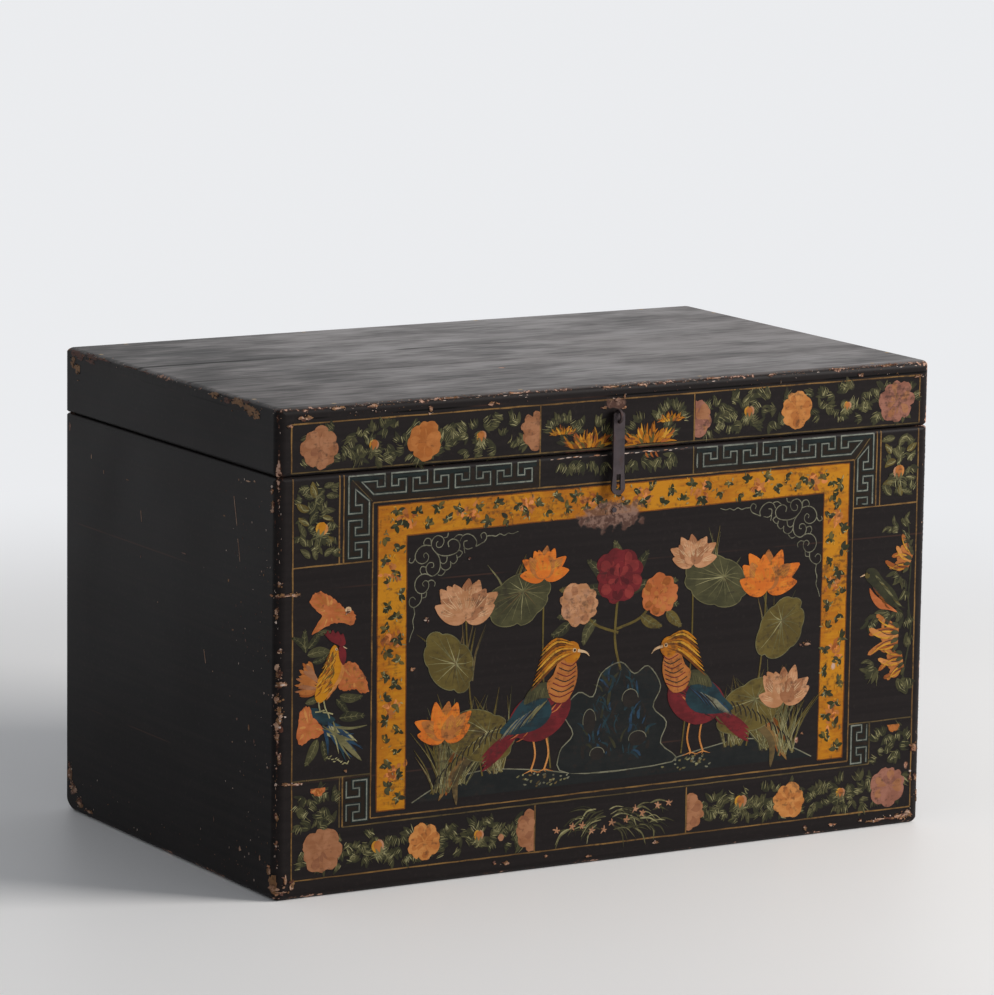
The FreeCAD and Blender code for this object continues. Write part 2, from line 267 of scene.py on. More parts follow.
def rub_spots(f):
    """How much of the finish is rubbed away on the front, and the dull tone that is left."""
    x, y, z = f.axes()
    ragged = f.spread(f.noise(105.0, 8.0), -0.95, 0.95)
    share = 0.0
    for middle_x, middle_z, wide, tall in RUB_SPOTS:
        across = f.math("DIVIDE", f.math("SUBTRACT", x, middle_x * MM), wide * MM)
        up = f.math("DIVIDE", f.math("SUBTRACT", z, middle_z * MM), tall * MM)
        away = f.plus(f.distance(across, up), ragged)
        share = f.math("MAXIMUM", share, f.between(away, 1.0, 0.74))
    on_face = f.between(y, FRONT_Y + 0.010, FRONT_Y + 0.005)
    mottle = f.between(f.noise(210.0, 5.0), 0.43, 0.60)
    tone = f.mix(mottle, SMUDGE_DARK, SMUDGE_LIGHT)
    return f.times(f.times(share, on_face), 0.85), tone


def nearest_joint(f, value, joints):
    return smallest(f, *[f.gap(value, joint) for joint in joints])


def wall_tone(f, grain, fine):
    """Deep black with a faint grain. The front is a little lighter and browner, which is painted light that
    the front catches. A line of painted shade runs where the lid's boards sit on its rails.
    """
    _, y, z = f.axes()
    tone = f.mix(f.between(grain, 0.35, 0.7), LACQUER_DARK, LACQUER_LIGHT)
    tone = f.mix(f.times(f.between(fine, 0.55, 0.72), 0.5), tone, LACQUER_FLECK)
    # Painted light: the front is made a little lighter and browner, for the light it catches.
    lit_front = f.times(f.between(y, FRONT_Y + 0.006, FRONT_Y + 0.002), 0.5)
    tone = f.mix(lit_front, tone, FRONT_LIGHT_TONE)
    seam = f.between(nearest_joint(f, z, WALL_JOINTS), 0.0011, 0.0003)
    seam = f.times(seam, f.between(f.noise(9.0, 3.0), 0.46, 0.60))
    tone = f.mix(f.times(seam, 0.6), tone, JOINT_BROWN)
    # Painted shade: a dark line where the lid's boards sit on its rails.
    board_joint_shade = f.between(f.gap(z, WALL_JOINTS[-1]), 0.0014, 0.0004)
    board_joint_shade = f.times(board_joint_shade, f.between(f.noise(6.0, 3.0), 0.40, 0.52))
    return f.mix(board_joint_shade, tone, JOINT_SHADE)


def open_joint(f):
    """The lid's open joint, wide at the left and nearly shut at the right, as a band of painted shade
    several millimetres wide.
    """
    x, y, _ = f.axes()
    gap = 0.0
    for joint, share in zip(LID_JOINTS, (0.35, 1.0)):
        near = f.between(f.gap(y, joint), 0.0055, 0.0018)
        gap = f.math("MAXIMUM", gap, f.times(near, share))
    gap = f.times(gap, f.between(f.noise(5.0, 3.0), 0.36, 0.50))
    return f.times(gap, f.spread(f.between(x, 0.10, -0.10), 0.12, 1.0))


def lid_top(f, cloud, crack_and_shade):
    """The lid's dull top: its tone, greyed by wear and by painted sheen and darker towards the left, how
    far that grey reaches, and its streaks.
    """
    x = f.axes()[0]
    swept = f.noise(1.0, 8.0, f.stretched((9.0, 22.0, 20.0)), 0.25)
    streak = f.noise(1.0, 8.0, f.stretched((26.0, 150.0, 60.0)), 0.3)
    wear = f.weighed((swept, 0.45), (streak, 0.33), (cloud, 0.22))
    # Painted sheen and wear: the top turns grey where worn, for the wear and for the sheen the light gives
    # it. The shift along x makes it darker and rougher towards the left.
    wear = f.plus(wear, f.spread(f.between(x, LEFT_X, -0.05), -0.10, 0.025))
    worn_and_sheen = f.between(wear, 0.30, 0.65)
    tone = f.mix(worn_and_sheen, LID_BLACK, LID_SHEEN_GREY)
    scratch = f.between(f.noise(1.0, 3.0, f.stretched((40.0, 260.0, 60.0)), 0.6), 0.68, 0.76)
    tone = f.mix(f.times(scratch, 0.85), tone, SCRATCH_BLACK)
    # Painted shade: the open joint is darkened as a wide band.
    return f.mix(crack_and_shade, tone, CRACK_SHADE), worn_and_sheen, streak


def black_lacquer(name, gloss, lid=False):
    """Black lacquer on wood: worn to its ground at the edges, bare wood inside, dull on the lid, whose top
    is greyed by wear and by painted sheen.
    """
    f = Finish(name)
    end, front, to_top, to_seam, to_foot = edge_gaps(f)
    level = smallest(f, to_top, f.plus(to_seam, 0.004), to_foot)
    edge = middle_of(f, end, front, level)
    corner = f.math("MAXIMUM", f.math("MAXIMUM", end, front), level)
    coarse = f.noise(24.0, 4.0)
    fine = f.noise(230.0, 6.0)
    near = f.between(edge, EDGE_WEAR, 0.0)
    knock = f.between(corner, CORNER_WEAR, 0.0)
    score = f.weighed((coarse, 0.5), (fine, 0.5), (near, 0.27), (knock, 0.13))
    bruise = f.between(score, 0.745, 0.80)
    chip = f.math("MAXIMUM", f.between(score, 0.80, 0.83), nicks(f))

    grain = f.noise(1.0, 6.0, f.stretched((4.0, 4.0, 170.0)), 0.3)
    cloud = f.noise(5.0, 6.0, None, 0.4)
    tone = wall_tone(f, grain, fine)
    rough = f.plus(f.spread(cloud, 0.24, 0.50), f.times(grain, 0.10))
    height = f.times(grain, 0.25)
    pits = chip
    if lid:
        lies_up = f.between(facing_up(f), 0.6, 0.9)
        crack_and_shade = f.times(open_joint(f), lies_up)
        top, worn_and_sheen, streak = lid_top(f, cloud, crack_and_shade)
        # Faces that look up take the lid top's grey of wear and painted sheen.
        tone = f.mix(lies_up, tone, top)
        rough = f.plus(rough, f.times(lies_up, f.spread(worn_and_sheen, 0.26, -0.04)))
        rough = f.plus(rough, f.times(crack_and_shade, 0.4))
        height = f.plus(height, f.times(streak, 0.35))
        pits = f.math("MAXIMUM", chip, crack_and_shade)
        f.join(f.spread(lies_up, 0.06, gloss), f.shader.inputs["Specular IOR Level"])

    tone = f.mix(f.times(bruise, 0.8), tone, BRUISE)
    ground = f.mix(f.between(fine, 0.42, 0.60), GROUND_RED, GROUND_PALE)
    tone = f.mix(chip, tone, ground)
    spot, smudge = rub_spots(f)
    tone = f.mix(spot, tone, smudge)

    depth = smallest(f, end, front, to_top)
    inside = f.between(depth, LACQUER_ENDS, WOOD_BEGINS)
    wood, _ = old_wood(f)
    tone = f.mix(inside, tone, wood)
    bare = f.times(f.math("MAXIMUM", chip, inside), 0.35)
    relief = f.relief(f.math("SUBTRACT", height, pits), 0.0004)
    return f.finish(tone, f.plus(rough, bare, True), relief, gloss)


def bare_wood():
    f = Finish("bare_softwood")
    tone, fibre = old_wood(f)
    return f.finish(tone, f.spread(fibre, 0.65, 0.9), f.relief(fibre, 0.0003), 0.2)


def bamboo():
    f = Finish("split_bamboo")
    strand = f.noise(1.0, 5.0, f.stretched((700.0, 700.0, 40.0)))
    tone = f.mix(f.between(strand, 0.35, 0.7), BAMBOO_DARK, BAMBOO_LIGHT)
    return f.finish(tone, f.spread(strand, 0.5, 0.75), f.relief(strand, 0.0001))


def forged_iron():
    f = Finish("forged_iron")
    scale = f.noise(120.0, 6.0)
    dents = f.noise(45.0, 2.0)
    rust = f.between(f.noise(75.0, 5.0), 0.52, 0.68)
    tone = f.mix(scale, IRON_DARK, IRON_LIGHT)
    tone = f.mix(f.times(rust, 0.5), tone, IRON_RUST)
    f.shader.inputs["Metallic"].default_value = 0.55
    bumps = f.weighed((dents, 0.8), (scale, 0.3))
    rough = f.plus(f.spread(scale, 0.42, 0.6), f.times(rust, 0.25), True)
    return f.finish(tone, rough, f.relief(bumps, 0.0006), 0.4)


def paint(name, tone, second, patch=60.0):
    """Old hand paint: two tones brushed into each other in patches, rubbed thin and nicked."""
    f = Finish(name + "_paint")
    brush = f.noise(1.0, 5.0, f.stretched((70.0, 70.0, 260.0)), 0.4)
    cloud = f.noise(patch, 4.0)
    blend = f.weighed((brush, 0.35), (cloud, 0.65))
    body = f.mix(f.between(blend, 0.40, 0.60), tone, second)
    thin = f.noise(210.0, 6.0)
    lines = f.noise(1.0, 4.0, f.stretched((12.0, 12.0, 420.0)))
    wide = f.noise(14.0, 3.0)
    rubbed = f.weighed((thin, 0.5), (lines, 0.2), (wide, 0.3))
    body = f.mix(f.times(f.between(rubbed, 0.51, 0.64), 0.6), body, PAINT_THIN)
    body = f.mix(nicks(f), body, PAINT_NICK)
    spot, smudge = rub_spots(f)
    body = f.mix(spot, body, smudge)
    return f.finish(body, f.spread(thin, 0.42, 0.62), f.relief(brush, 0.0001), 0.10)


# Each paint's two tones, and the scale of its patches where that isn't the usual one.
PIGMENTS = {
    "ochre": ((0.395, 0.160, 0.006), (0.300, 0.098, 0.005), 15.0),
    "ochre_edge": ((0.15, 0.048, 0.006), (0.10, 0.030, 0.005)),
    "blush": ((0.52, 0.190, 0.060), (0.45, 0.145, 0.035)),
    "gold": ((0.190, 0.104, 0.032), (0.090, 0.048, 0.016), 25.0),
    "olive_gold": ((0.105, 0.070, 0.027), (0.050, 0.036, 0.015), 25.0),
    "peach": ((0.270, 0.118, 0.056), (0.215, 0.085, 0.037)),
    "peach_light": ((0.290, 0.130, 0.064), (0.250, 0.104, 0.048)),
    "peach_shade": ((0.225, 0.092, 0.044), (0.180, 0.070, 0.034)),
    "pale_peach": ((0.36, 0.185, 0.105), (0.30, 0.140, 0.070)),
    "orange": ((0.345, 0.122, 0.030), (0.275, 0.090, 0.020)),
    "orange_light": ((0.375, 0.136, 0.035), (0.32, 0.110, 0.026)),
    "orange_shade": ((0.31, 0.098, 0.020), (0.26, 0.080, 0.016)),
    "light_orange": ((0.44, 0.185, 0.052), (0.37, 0.140, 0.034)),
    "deep_orange": ((0.27, 0.080, 0.016), (0.21, 0.058, 0.012)),
    "lotus_orange": ((0.52, 0.140, 0.016), (0.44, 0.105, 0.012)),
    "lotus_peach": ((0.41, 0.205, 0.105), (0.31, 0.140, 0.062)),
    "salmon": ((0.38, 0.115, 0.036), (0.30, 0.080, 0.021)),
    "terra_shade": ((0.190, 0.078, 0.054), (0.150, 0.060, 0.042)),
    "terracotta": ((0.250, 0.108, 0.074), (0.190, 0.076, 0.050)),
    "crimson": ((0.125, 0.011, 0.014), (0.080, 0.008, 0.010)),
    "rose": ((0.190, 0.024, 0.022), (0.130, 0.015, 0.015)),
    "wine": ((0.072, 0.007, 0.009), (0.050, 0.005, 0.007)),
    "yellow": ((0.45, 0.225, 0.025), (0.36, 0.160, 0.014)),
    "leaf_dark": ((0.030, 0.029, 0.013), (0.018, 0.018, 0.009)),
    "leaf_green": ((0.054, 0.050, 0.021), (0.034, 0.032, 0.014)),
    "leaf_light": ((0.135, 0.122, 0.055), (0.084, 0.077, 0.034)),
    "leaf_tip": ((0.27, 0.245, 0.125), (0.17, 0.155, 0.070)),
    "olive": ((0.098, 0.072, 0.017), (0.070, 0.050, 0.012)),
    "sprig_green": ((0.024, 0.027, 0.008), (0.015, 0.016, 0.006)),
    "key_grey": ((0.170, 0.180, 0.150), (0.095, 0.104, 0.086)),
    "rock_dark": ((0.0058, 0.0072, 0.0074), (0.0088, 0.0100, 0.0098)),
    "key_field": ((0.0092, 0.0056, 0.0030), (0.0116, 0.0072, 0.0040)),
    "key_wash": ((0.0080, 0.0135, 0.0130), (0.0055, 0.0088, 0.0086)),
    "scroll_grey": ((0.160, 0.155, 0.105), (0.095, 0.092, 0.060)),
    "teal": ((0.012, 0.032, 0.040), (0.008, 0.018, 0.023)),
    "blue": ((0.016, 0.044, 0.078), (0.011, 0.026, 0.048)),
    "cream": ((0.52, 0.37, 0.22), (0.42, 0.27, 0.15)),
    "primer": ((0.150, 0.082, 0.062), (0.095, 0.048, 0.038)),
    "chalk": ((0.50, 0.41, 0.36), (0.36, 0.26, 0.21)),
    "tan": ((0.200, 0.105, 0.048), (0.130, 0.064, 0.030)),
    "bare_ground": ((0.42, 0.27, 0.19), (0.22, 0.11, 0.065)),
    "rust": ((0.085, 0.032, 0.020), (0.050, 0.020, 0.014)),
    "ink": ((0.010, 0.008, 0.007), (0.014, 0.011, 0.009)),
}
PAINTS = {name: paint(name, *tones) for name, tones in PIGMENTS.items()}
FINISHES = {
    "lacquered_wood": black_lacquer("wall_lacquer", 0.06),
    "lid_boards": black_lacquer("lid_lacquer", 0.42, True),
    "bare_wood": bare_wood(),
    "bamboo": bamboo(),
    "forged_iron": forged_iron(),
}


# Painting
# The painter's hand strays a little. Each piece starts it again from a seed of its own.
SHEET_SEED = 11
hand = random.Random(SHEET_SEED)

# Boards take the paint. A stroke's points are cast on them from in front, over a short way.
BOARDS = ("_plank", "_rail", "_board")
CAST_FROM = 0.02
CAST_REACH = 0.05

# The least width of a stroke, as a share of its full width, and the cosine at which mitres stop growing.
THINNEST = 0.10
SHARPEST = 0.5

# Distance between the points of a ruled line.
RULE_STEP = 14

# Angles on the face, from the right and turning left.
QUARTER_TURN = math.pi / 2
FIFTH_TURN = 1.256
EIGHTH_TURN = 0.7854
UP = QUARTER_TURN
WHOLE_ROUND = (0.0, 2 * math.pi)
NEARLY_ROUND = 6.2
ANY_WAY = 6.28


def board_skin():
    """All the boards as one skin that strokes can be laid on."""
    points, faces = [], []
    for name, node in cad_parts.items():
        if name.endswith(BOARDS):
            first = len(points)
            points += [vertex.co.copy() for vertex in node.data.vertices]
            faces += [[first + i for i in face.vertices] for face in node.data.polygons]
    return BVHTree.FromPolygons(points, faces)


SKIN = board_skin()


def laid_on(corner, across, up):
    """A way to lay flat points on the boards, seen square on, across and up from a corner."""
    corner = Vector(corner)
    across = Vector(across).normalized()
    up = Vector(up).normalized()
    outward = across.cross(up)

    def place(u, v, height):
        spot = corner + (across * u + up * v) * MM
        hit, normal, _, _ = SKIN.ray_cast(spot + outward * CAST_FROM, -outward, CAST_REACH)
        if hit is None:
            hit, normal, _, _ = SKIN.find_nearest(spot)
        return hit + normal * height * MM

    return place


on_front = laid_on((0.0, FRONT_Y, 0.0), (1, 0, 0), (0, 0, 1))
on_left_end = laid_on((LEFT_X, 0.0, 0.0), (0, -1, 0), (0, 0, 1))
on_front_rim = laid_on((0.0, FRONT_Y, TOP_Z), (1, 0, 0), (0, 1, 1))
on_left_rim = laid_on((LEFT_X, 0.0, TOP_Z), (0, -1, 0), (1, 0, 1))
on_left_corner = laid_on((LEFT_X, FRONT_Y, 0.0), (1, -1, 0), (0, 0, 1))
on_right_corner = laid_on((RIGHT_X, FRONT_Y, 0.0), (1, 1, 0), (0, 0, 1))


class Sheet:
    """Paint strokes that become one piece."""

    def __init__(self, name, body, place=on_front):
        self.name = name
        self.body = body
        self.place = place
        self.points = []
        self.faces = []
        self.paints = []
        self.strokes = 0

    def height(self, level):
        """Height of the next stroke. No two share a plane, so strokes may cross."""
        self.strokes += 1
        return COAT * (level + 1 + self.strokes * GOLDEN % 1.0)

    def add(self, flat, height):
        first = len(self.points)
        self.points += [self.place(u, v, height) for u, v in flat]
        return first

    def blob(self, outline, tone, level=0):
        """One flat spot of paint inside an outline."""
        if signed_area(outline) < 0:
            outline = outline[::-1]
        first = self.add(outline, self.height(level))
        self.faces.append(range(first, first + len(outline)))
        self.paints.append(tone)

    def patch(self, outline, tone, level=0):
        """A blob with points inside, for the rounded edges."""
        if signed_area(outline) < 0:
            outline = outline[::-1]
        count = len(outline)
        middle = heart_of(outline)
        inner = [((u + middle[0]) / 2, (v + middle[1]) / 2) for u, v in outline]
        first = self.add(outline + inner + [middle], self.height(level))
        for i in range(count):
            j = (i + 1) % count
            self.faces.append((first + i, first + j, first + count + j, first + count + i))
            self.faces.append((first + count + i, first + count + j, first + 2 * count))
            self.paints += [tone, tone]

    def ribbon(self, path, widths, tone, level=0):
        """Paint along a path, with its width at each point."""
        path, widths = bent_at_edges(path, widths)
        left, right = offset_sides(path, widths)
        height = self.height(level)
        first = self.add(left, height)
        second = self.add(right, height)
        for i in range(len(path) - 1):
            self.faces.append((second + i, second + i + 1, first + i + 1, first + i))
            self.paints.append(tone)

    def stroke(self, points, width, tone, level=0, shape="leaf", steps=4):
        """One brush stroke through the points, whose width follows a shape."""
        path = smooth_path(points, steps)
        last = len(path) - 1
        widths = [width * max(THINNEST, SHAPES[shape](i / last)) for i in range(last + 1)]
        self.ribbon(path, widths, tone, level)

    def finish(self):
        """Makes the strokes one piece with a little thickness, which rides on its body."""
        mesh = bpy.data.meshes.new(self.name)
        mesh.from_pydata(self.points, [], self.faces)
        names = sorted(set(self.paints))
        for name in names:
            mesh.materials.append(PAINTS[name])
        mesh.polygons.foreach_set("material_index", [names.index(p) for p in self.paints])
        piece = bpy.data.objects.new(self.name, mesh)
        bpy.context.scene.collection.objects.link(piece)
        bpy.ops.object.select_all(action="DESELECT")
        piece.select_set(True)
        bpy.context.view_layer.objects.active = piece
        solid = piece.modifiers.new("coat", "SOLIDIFY")
        solid.thickness = PAINT_BODY * MM
        solid.offset = -1.0
        bpy.ops.object.modifier_apply(modifier=solid.name)
        lay_flat_map(piece.data)
        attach(piece, self.body)


# Heights at which a stroke over the seam bends with the rounded edges.
EDGE_STEPS = [BASE_TOP_Z / MM + step for step in (-5.0, -3.6, -2.4, -1.5, 1.8, 2.7, 3.9, 5.3)]


def bent_at_edges(path, widths):
    """The same path, with more points where it runs over the rounded edges of the seam."""
    bent, sizes = [path[0]], [widths[0]]
    for start, end, wide, next_wide in zip(path, path[1:], widths, widths[1:]):
        rise = end[1] - start[1]
        shares = sorted((step - start[1]) / rise for step in EDGE_STEPS) if abs(rise) > 0.5 else []
        for t in shares:
            if 0.02 < t < 0.98:
                bent.append(part_way(start, end, t))
                sizes.append(wide + (next_wide - wide) * t)
        bent.append(end)
        sizes.append(next_wide)
    return bent, sizes


def lay_flat_map(mesh):
    """A map of the piece as seen along its thinnest side."""
    columns = list(zip(*[vertex.co for vertex in mesh.vertices]))
    low = [min(column) for column in columns]
    spans = [max(column) - least for column, least in zip(columns, low)]
    thin = spans.index(min(spans))
    across, up = [i for i in range(3) if i != thin]
    size = max(spans)
    layer = mesh.uv_layers.new(name="OFBake")
    for loop in mesh.loops:
        spot = mesh.vertices[loop.vertex_index].co
        layer.data[loop.index].uv = ((spot[across] - low[across]) / size, (spot[up] - low[up]) / size)


def signed_area(outline):
    """Twice the area, above zero for an outline that turns left."""
    total = 0.0
    for (x0, z0), (x1, z1) in zip(outline, outline[1:] + outline[:1]):
        total += x0 * z1 - x1 * z0
    return total


def offset_sides(path, widths):
    """Points left and right of a path, with mitred corners."""
    left, right = [], []
    for i, (x, z) in enumerate(path):
        before = path[max(i - 1, 0)]
        after = path[min(i + 1, len(path) - 1)]
        into = unit(x - before[0], z - before[1]) if i > 0 else None
        out = unit(after[0] - x, after[1] - z) if i < len(path) - 1 else None
        into = into or out
        out = out or into
        along = unit(into[0] + out[0], into[1] + out[1]) or out
        reach = widths[i] / 2 / max(SHARPEST, into[0] * along[0] + into[1] * along[1])
        left.append((x - along[1] * reach, z + along[0] * reach))
        right.append((x + along[1] * reach, z - along[0] * reach))
    return left, right


def unit(u, v):
    """The same way with length one, or nothing for a way of no length."""
    size = math.hypot(u, v)
    if size < 1e-9:
        return None
    return (u / size, v / size)


def smooth_path(points, steps):
    """A smooth line through the points, with so many steps between neighbours."""
    if len(points) < 3:
        return list(points)
    ends = [points[0]] + list(points) + [points[-1]]
    path = []
    for i in range(1, len(ends) - 2):
        path += [passing(ends[i - 1 : i + 3], k / steps) for k in range(steps)]
    return path + [points[-1]]


def closed_path(points, steps=4):
    """A smooth closed line through the points."""
    count = len(points)
    path = []
    for i in range(count):
        span = [points[(i + k) % count] for k in (-1, 0, 1, 2)]
        path += [passing(span, k / steps) for k in range(steps)]
    return path


def passing(span, t):
    """A point at share t between the middle two of four points."""
    found = []
    for a, b, c, d in zip(*span):
        found.append(
            0.5 * (2 * b + (c - a) * t + (2 * a - 5 * b + 4 * c - d) * t ** 2
                   + (3 * b - a - 3 * c + d) * t ** 3)
        )
    return tuple(found)


# Widths of the kinds of stroke, from its start at 0 to its end at 1.
SHAPES = {
    "line": lambda t: 1.0,
    "leaf": lambda t: math.sin(math.pi * t ** 0.8) ** 0.85,
    "petal": lambda t: math.sin(math.pi * t ** 1.5) ** 0.75 if t < 1 else 0.0,
    "blade": lambda t: 1.0 - t ** 1.6,
    "finger": lambda t: min(1.0, 0.5 + 1.2 * t) * math.sqrt(1.0 - t ** 8),
    "wisp": lambda t: min(1.0, 0.35 + 2.6 * t) * (1.0 - t ** 3),
}


def turned(u, v, angle):
    c, s = math.cos(angle), math.sin(angle)
    return (c * u - s * v, s * u + c * v)


def placed(x, z, size, flip):
    """Takes a motif's own points to their place on the face."""
    def at(*points):
        return [(x + flip * size * u, z + size * v) for u, v in points]
    return at


def ray(x, z, angle, length):
    """The point at a length and an angle from here."""
    return (x + length * math.cos(angle), z + length * math.sin(angle))


def sway(most):
    """A draw of up to so much either way."""
    return hand.uniform(-most, most)


def shifted(point, way, amount):
    return (point[0] + way[0] * amount, point[1] + way[1] * amount)


def part_way(start, end, share):
    """The point at a share of the way between two points."""
    return tuple(a + (b - a) * share for a, b in zip(start, end))


def heart_of(points):
    """The mean of some points."""
    return tuple(sum(values) / len(points) for values in zip(*points))


def round_spot(x, z, radius):
    return [ray(x, z, k * 0.785, radius) for k in range(8)]


def bowed(x, z, angle, length, bow):
    """Three points of a stroke that leaves at an angle and bends by bow."""
    return [(x, z), ray(x, z, angle + bow * 0.3, length * 0.5), ray(x, z, angle + bow, length)]


def ruled(sheet, start, end, width, tone, level=1):
    """A line ruled by hand, which swells and wanders a little."""
    length = math.dist(start, end)
    count = max(2, round(length / RULE_STEP))
    path, widths = [], []
    across = unit(-(end[1] - start[1]), end[0] - start[0])
    for i in range(count + 1):
        wander = sway(0.22) if 0 < i < count else 0.0
        path.append(shifted(part_way(start, end, i / count), across, wander))
        widths.append(width * hand.uniform(0.75, 1.2))
    sheet.ribbon(path, widths, tone, level)


def uneven(corners, step=9.0, amount=0.35):
    """An outline with straight sides that waver as a brush does."""
    outline = []
    for start, end in zip(corners, corners[1:] + corners[:1]):
        count = max(1, round(math.dist(start, end) / step))
        outline.append(start)
        for i in range(1, count):
            spot = part_way(start, end, i / count)
            outline.append(tuple(value + sway(amount) for value in spot))
    return outline


# Flowers and leaves
# Tones of light veins and edges.
PALE = ("leaf_light", "leaf_tip")


def leaf(sheet, x, z, angle, length, level=1, tones=("leaf_dark", "leaf_green", "leaf_light")):
    """One brushed leaf, some with a light vein."""
    bow = sway(0.45)
    path = bowed(x, z, angle, length, bow)
    sheet.stroke(path, length * hand.uniform(0.30, 0.42), hand.choice(tones), level)
    if hand.random() < 0.55:
        side = sway(0.08)
        vein = bowed(*ray(x, z, angle, length * 0.15), angle + side, length * 0.75, bow)
        sheet.stroke(vein, hand.uniform(0.7, 1.2), hand.choice(PALE), level + 1)


def clump(sheet, x, z, angle, size, level=1):
    """A tuft of dull leaves, with a bundle of pale brush marks over them."""
    for k in range(hand.choice((3, 4))):
        lean = angle + sway(0.95)
        length = size * hand.uniform(0.8, 1.25)
        tone = hand.choice(("leaf_dark", "leaf_dark", "leaf_green"))
        path = bowed(x, z, lean, length, sway(0.25))
        sheet.stroke(path, length * hand.uniform(0.30, 0.44), tone, level + k % 2, "leaf", 3)
    lean = angle + sway(0.5)
    for k in range(hand.choice((4, 5, 6))):
        beside = ray(x, z, lean + QUARTER_TURN, (k - 2.5) * size * 0.15)
        start = ray(*beside, lean, size * hand.uniform(0.05, 0.3))
        turn = lean + sway(0.2)
        length = size * hand.uniform(0.45, 0.85)
        mark = bowed(*start, turn, length, sway(0.25))
        tone = hand.choice(("leaf_light", "leaf_light", "leaf_green", "leaf_tip"))
        sheet.stroke(mark, hand.uniform(0.6, 1.15), tone, level + 2, "wisp", 2)


def edged_leaf(sheet, x, z, angle, length, level=3):
    """A broad leaf with pale brush marks along one side and its midrib."""
    bow = sway(0.35)
    side = hand.choice((-1, 1))
    tone = hand.choice(("leaf_green", "leaf_dark", "leaf_green", "olive"))
    sheet.stroke(bowed(x, z, angle, length, bow), length * hand.uniform(0.40, 0.54), tone, level, "leaf", 4)
    edge = bowed(x, z, angle + side * 0.42, length * 0.8, bow - side * 0.55)
    sheet.stroke(edge, hand.uniform(0.9, 1.5), hand.choice(PALE), level + 1, "wisp", 3)
    rib = bowed(*ray(x, z, angle, length * 0.1), angle, length * 0.8, bow)
    sheet.stroke(rib, hand.uniform(0.6, 1.0), "leaf_light", level + 1, "wisp", 3)
    for k in (0.3, 0.5, 0.7):
        foot = ray(x, z, angle + bow * 0.5, length * k)
        rib = [foot, ray(*foot, angle - side * 0.7, length * 0.2)]
        sheet.stroke(rib, 0.7, "leaf_light", level + 1, "line")


def leaf_bed(sheet, left, right, low, high, pitch=9.0, size=12.0):
    """Leaf clumps strewn loosely over a strip."""
    columns = round((right - left) / pitch)
    rows = max(2, round((high - low) / (pitch * 1.15)))
    for i in range(columns):
        for j in range(rows):
            x = left + (right - left) * (i + 0.5 + sway(0.4)) / columns
            z = low + (high - low) * (j + 0.5 + sway(0.4)) / rows
            if hand.random() < 0.88:
                clump(sheet, x, z, hand.uniform(0.0, ANY_WAY), size * hand.uniform(0.75, 1.1))


def lobed(x, z, radius, lobes, depth, arc=WHOLE_ROUND, count=54):
    """Points round a flower's edge, in lobes of uneven width."""
    spans = [hand.uniform(0.55, 1.45) for _ in range(lobes)]
    uneven_by = [hand.uniform(-0.10, 0.06) for _ in range(lobes)]
    phase = hand.uniform(0.0, 1.0)
    points = []
    closed = arc[1] - arc[0] > NEARLY_ROUND
    steps = count if closed else count // 2
    for i in range(steps + (0 if closed else 1)):
        angle = arc[0] + (arc[1] - arc[0]) * i / steps
        along = (angle / (2 * math.pi) + phase) % 1.0 * sum(spans)
        lobe = 0
        while along > spans[lobe] and lobe < lobes - 1:
            along -= spans[lobe]
            lobe += 1
        swell = abs(math.sin(math.pi * min(1.0, along / spans[lobe]))) ** 0.45
        size = radius * (1.0 - depth + depth * swell + uneven_by[lobe])
        points.append(ray(x, z, angle, size))
    return points


def rosette(sheet, x, z, radius, tones, arc=WHOLE_ROUND, level=4, lobes=8, marks=7):
    """A full blossom with an uneven edge, soft petals and a few marks of the brush."""
    body, light, dark = tones
    edge = lobed(x, z, radius, lobes, 0.19, arc, 48)
    ragged = [(u + sway(0.5), v + sway(0.5)) for u, v in edge[1:-1]]
    sheet.blob([edge[0]] + ragged + [edge[-1]], body, level)
    span = arc[1] - arc[0]
    rows = ((lobes, 0.30, 0.56, 0.42), (lobes - 2, 0.08, 0.46, 0.36), (marks, 0.2, 0.4, 0.1))
    for count, near, reach, wide in rows:
        for k in range(count):
            share = (k + hand.uniform(0.25, 0.75)) / count
            if span < NEARLY_ROUND and not 0.16 < share < 0.84:
                continue
            angle = arc[0] + span * share
            start = ray(x, z, angle, radius * near * hand.uniform(0.8, 1.2))
            path = bowed(*start, angle + sway(0.2), radius * reach, sway(0.4))
            tone = hand.choice((light, light, dark, body))
            sheet.stroke(path, radius * wide * hand.uniform(0.7, 1.1), tone, level + 1 + k % 2, "petal", 4)


def bud(sheet, x, z, radius, tones, level=3):
    """A small bud of three upright petals on its leaves."""
    for side in (-1, 0, 1):
        clump(sheet, x, z - radius * 0.4, -UP + side * 1.1, radius * 1.7, level - 2)
    lean = UP + sway(0.35)
    foot = ray(x, z, lean, -radius)
    for k, (turn, tone) in enumerate(zip((0.38, -0.38, 0.0), tones)):
        path = bowed(*foot, lean + turn, radius * hand.uniform(1.85, 2.1), -turn * 0.6)
        sheet.stroke(path, radius * hand.uniform(1.05, 1.25), tone, level + k, "petal", 5)
    for turn in (0.75, -0.75):
        cup = bowed(*foot, lean + turn, radius * 1.1, -turn * 0.5)
        sheet.stroke(cup, radius * 0.4, "leaf_light", level + 3)


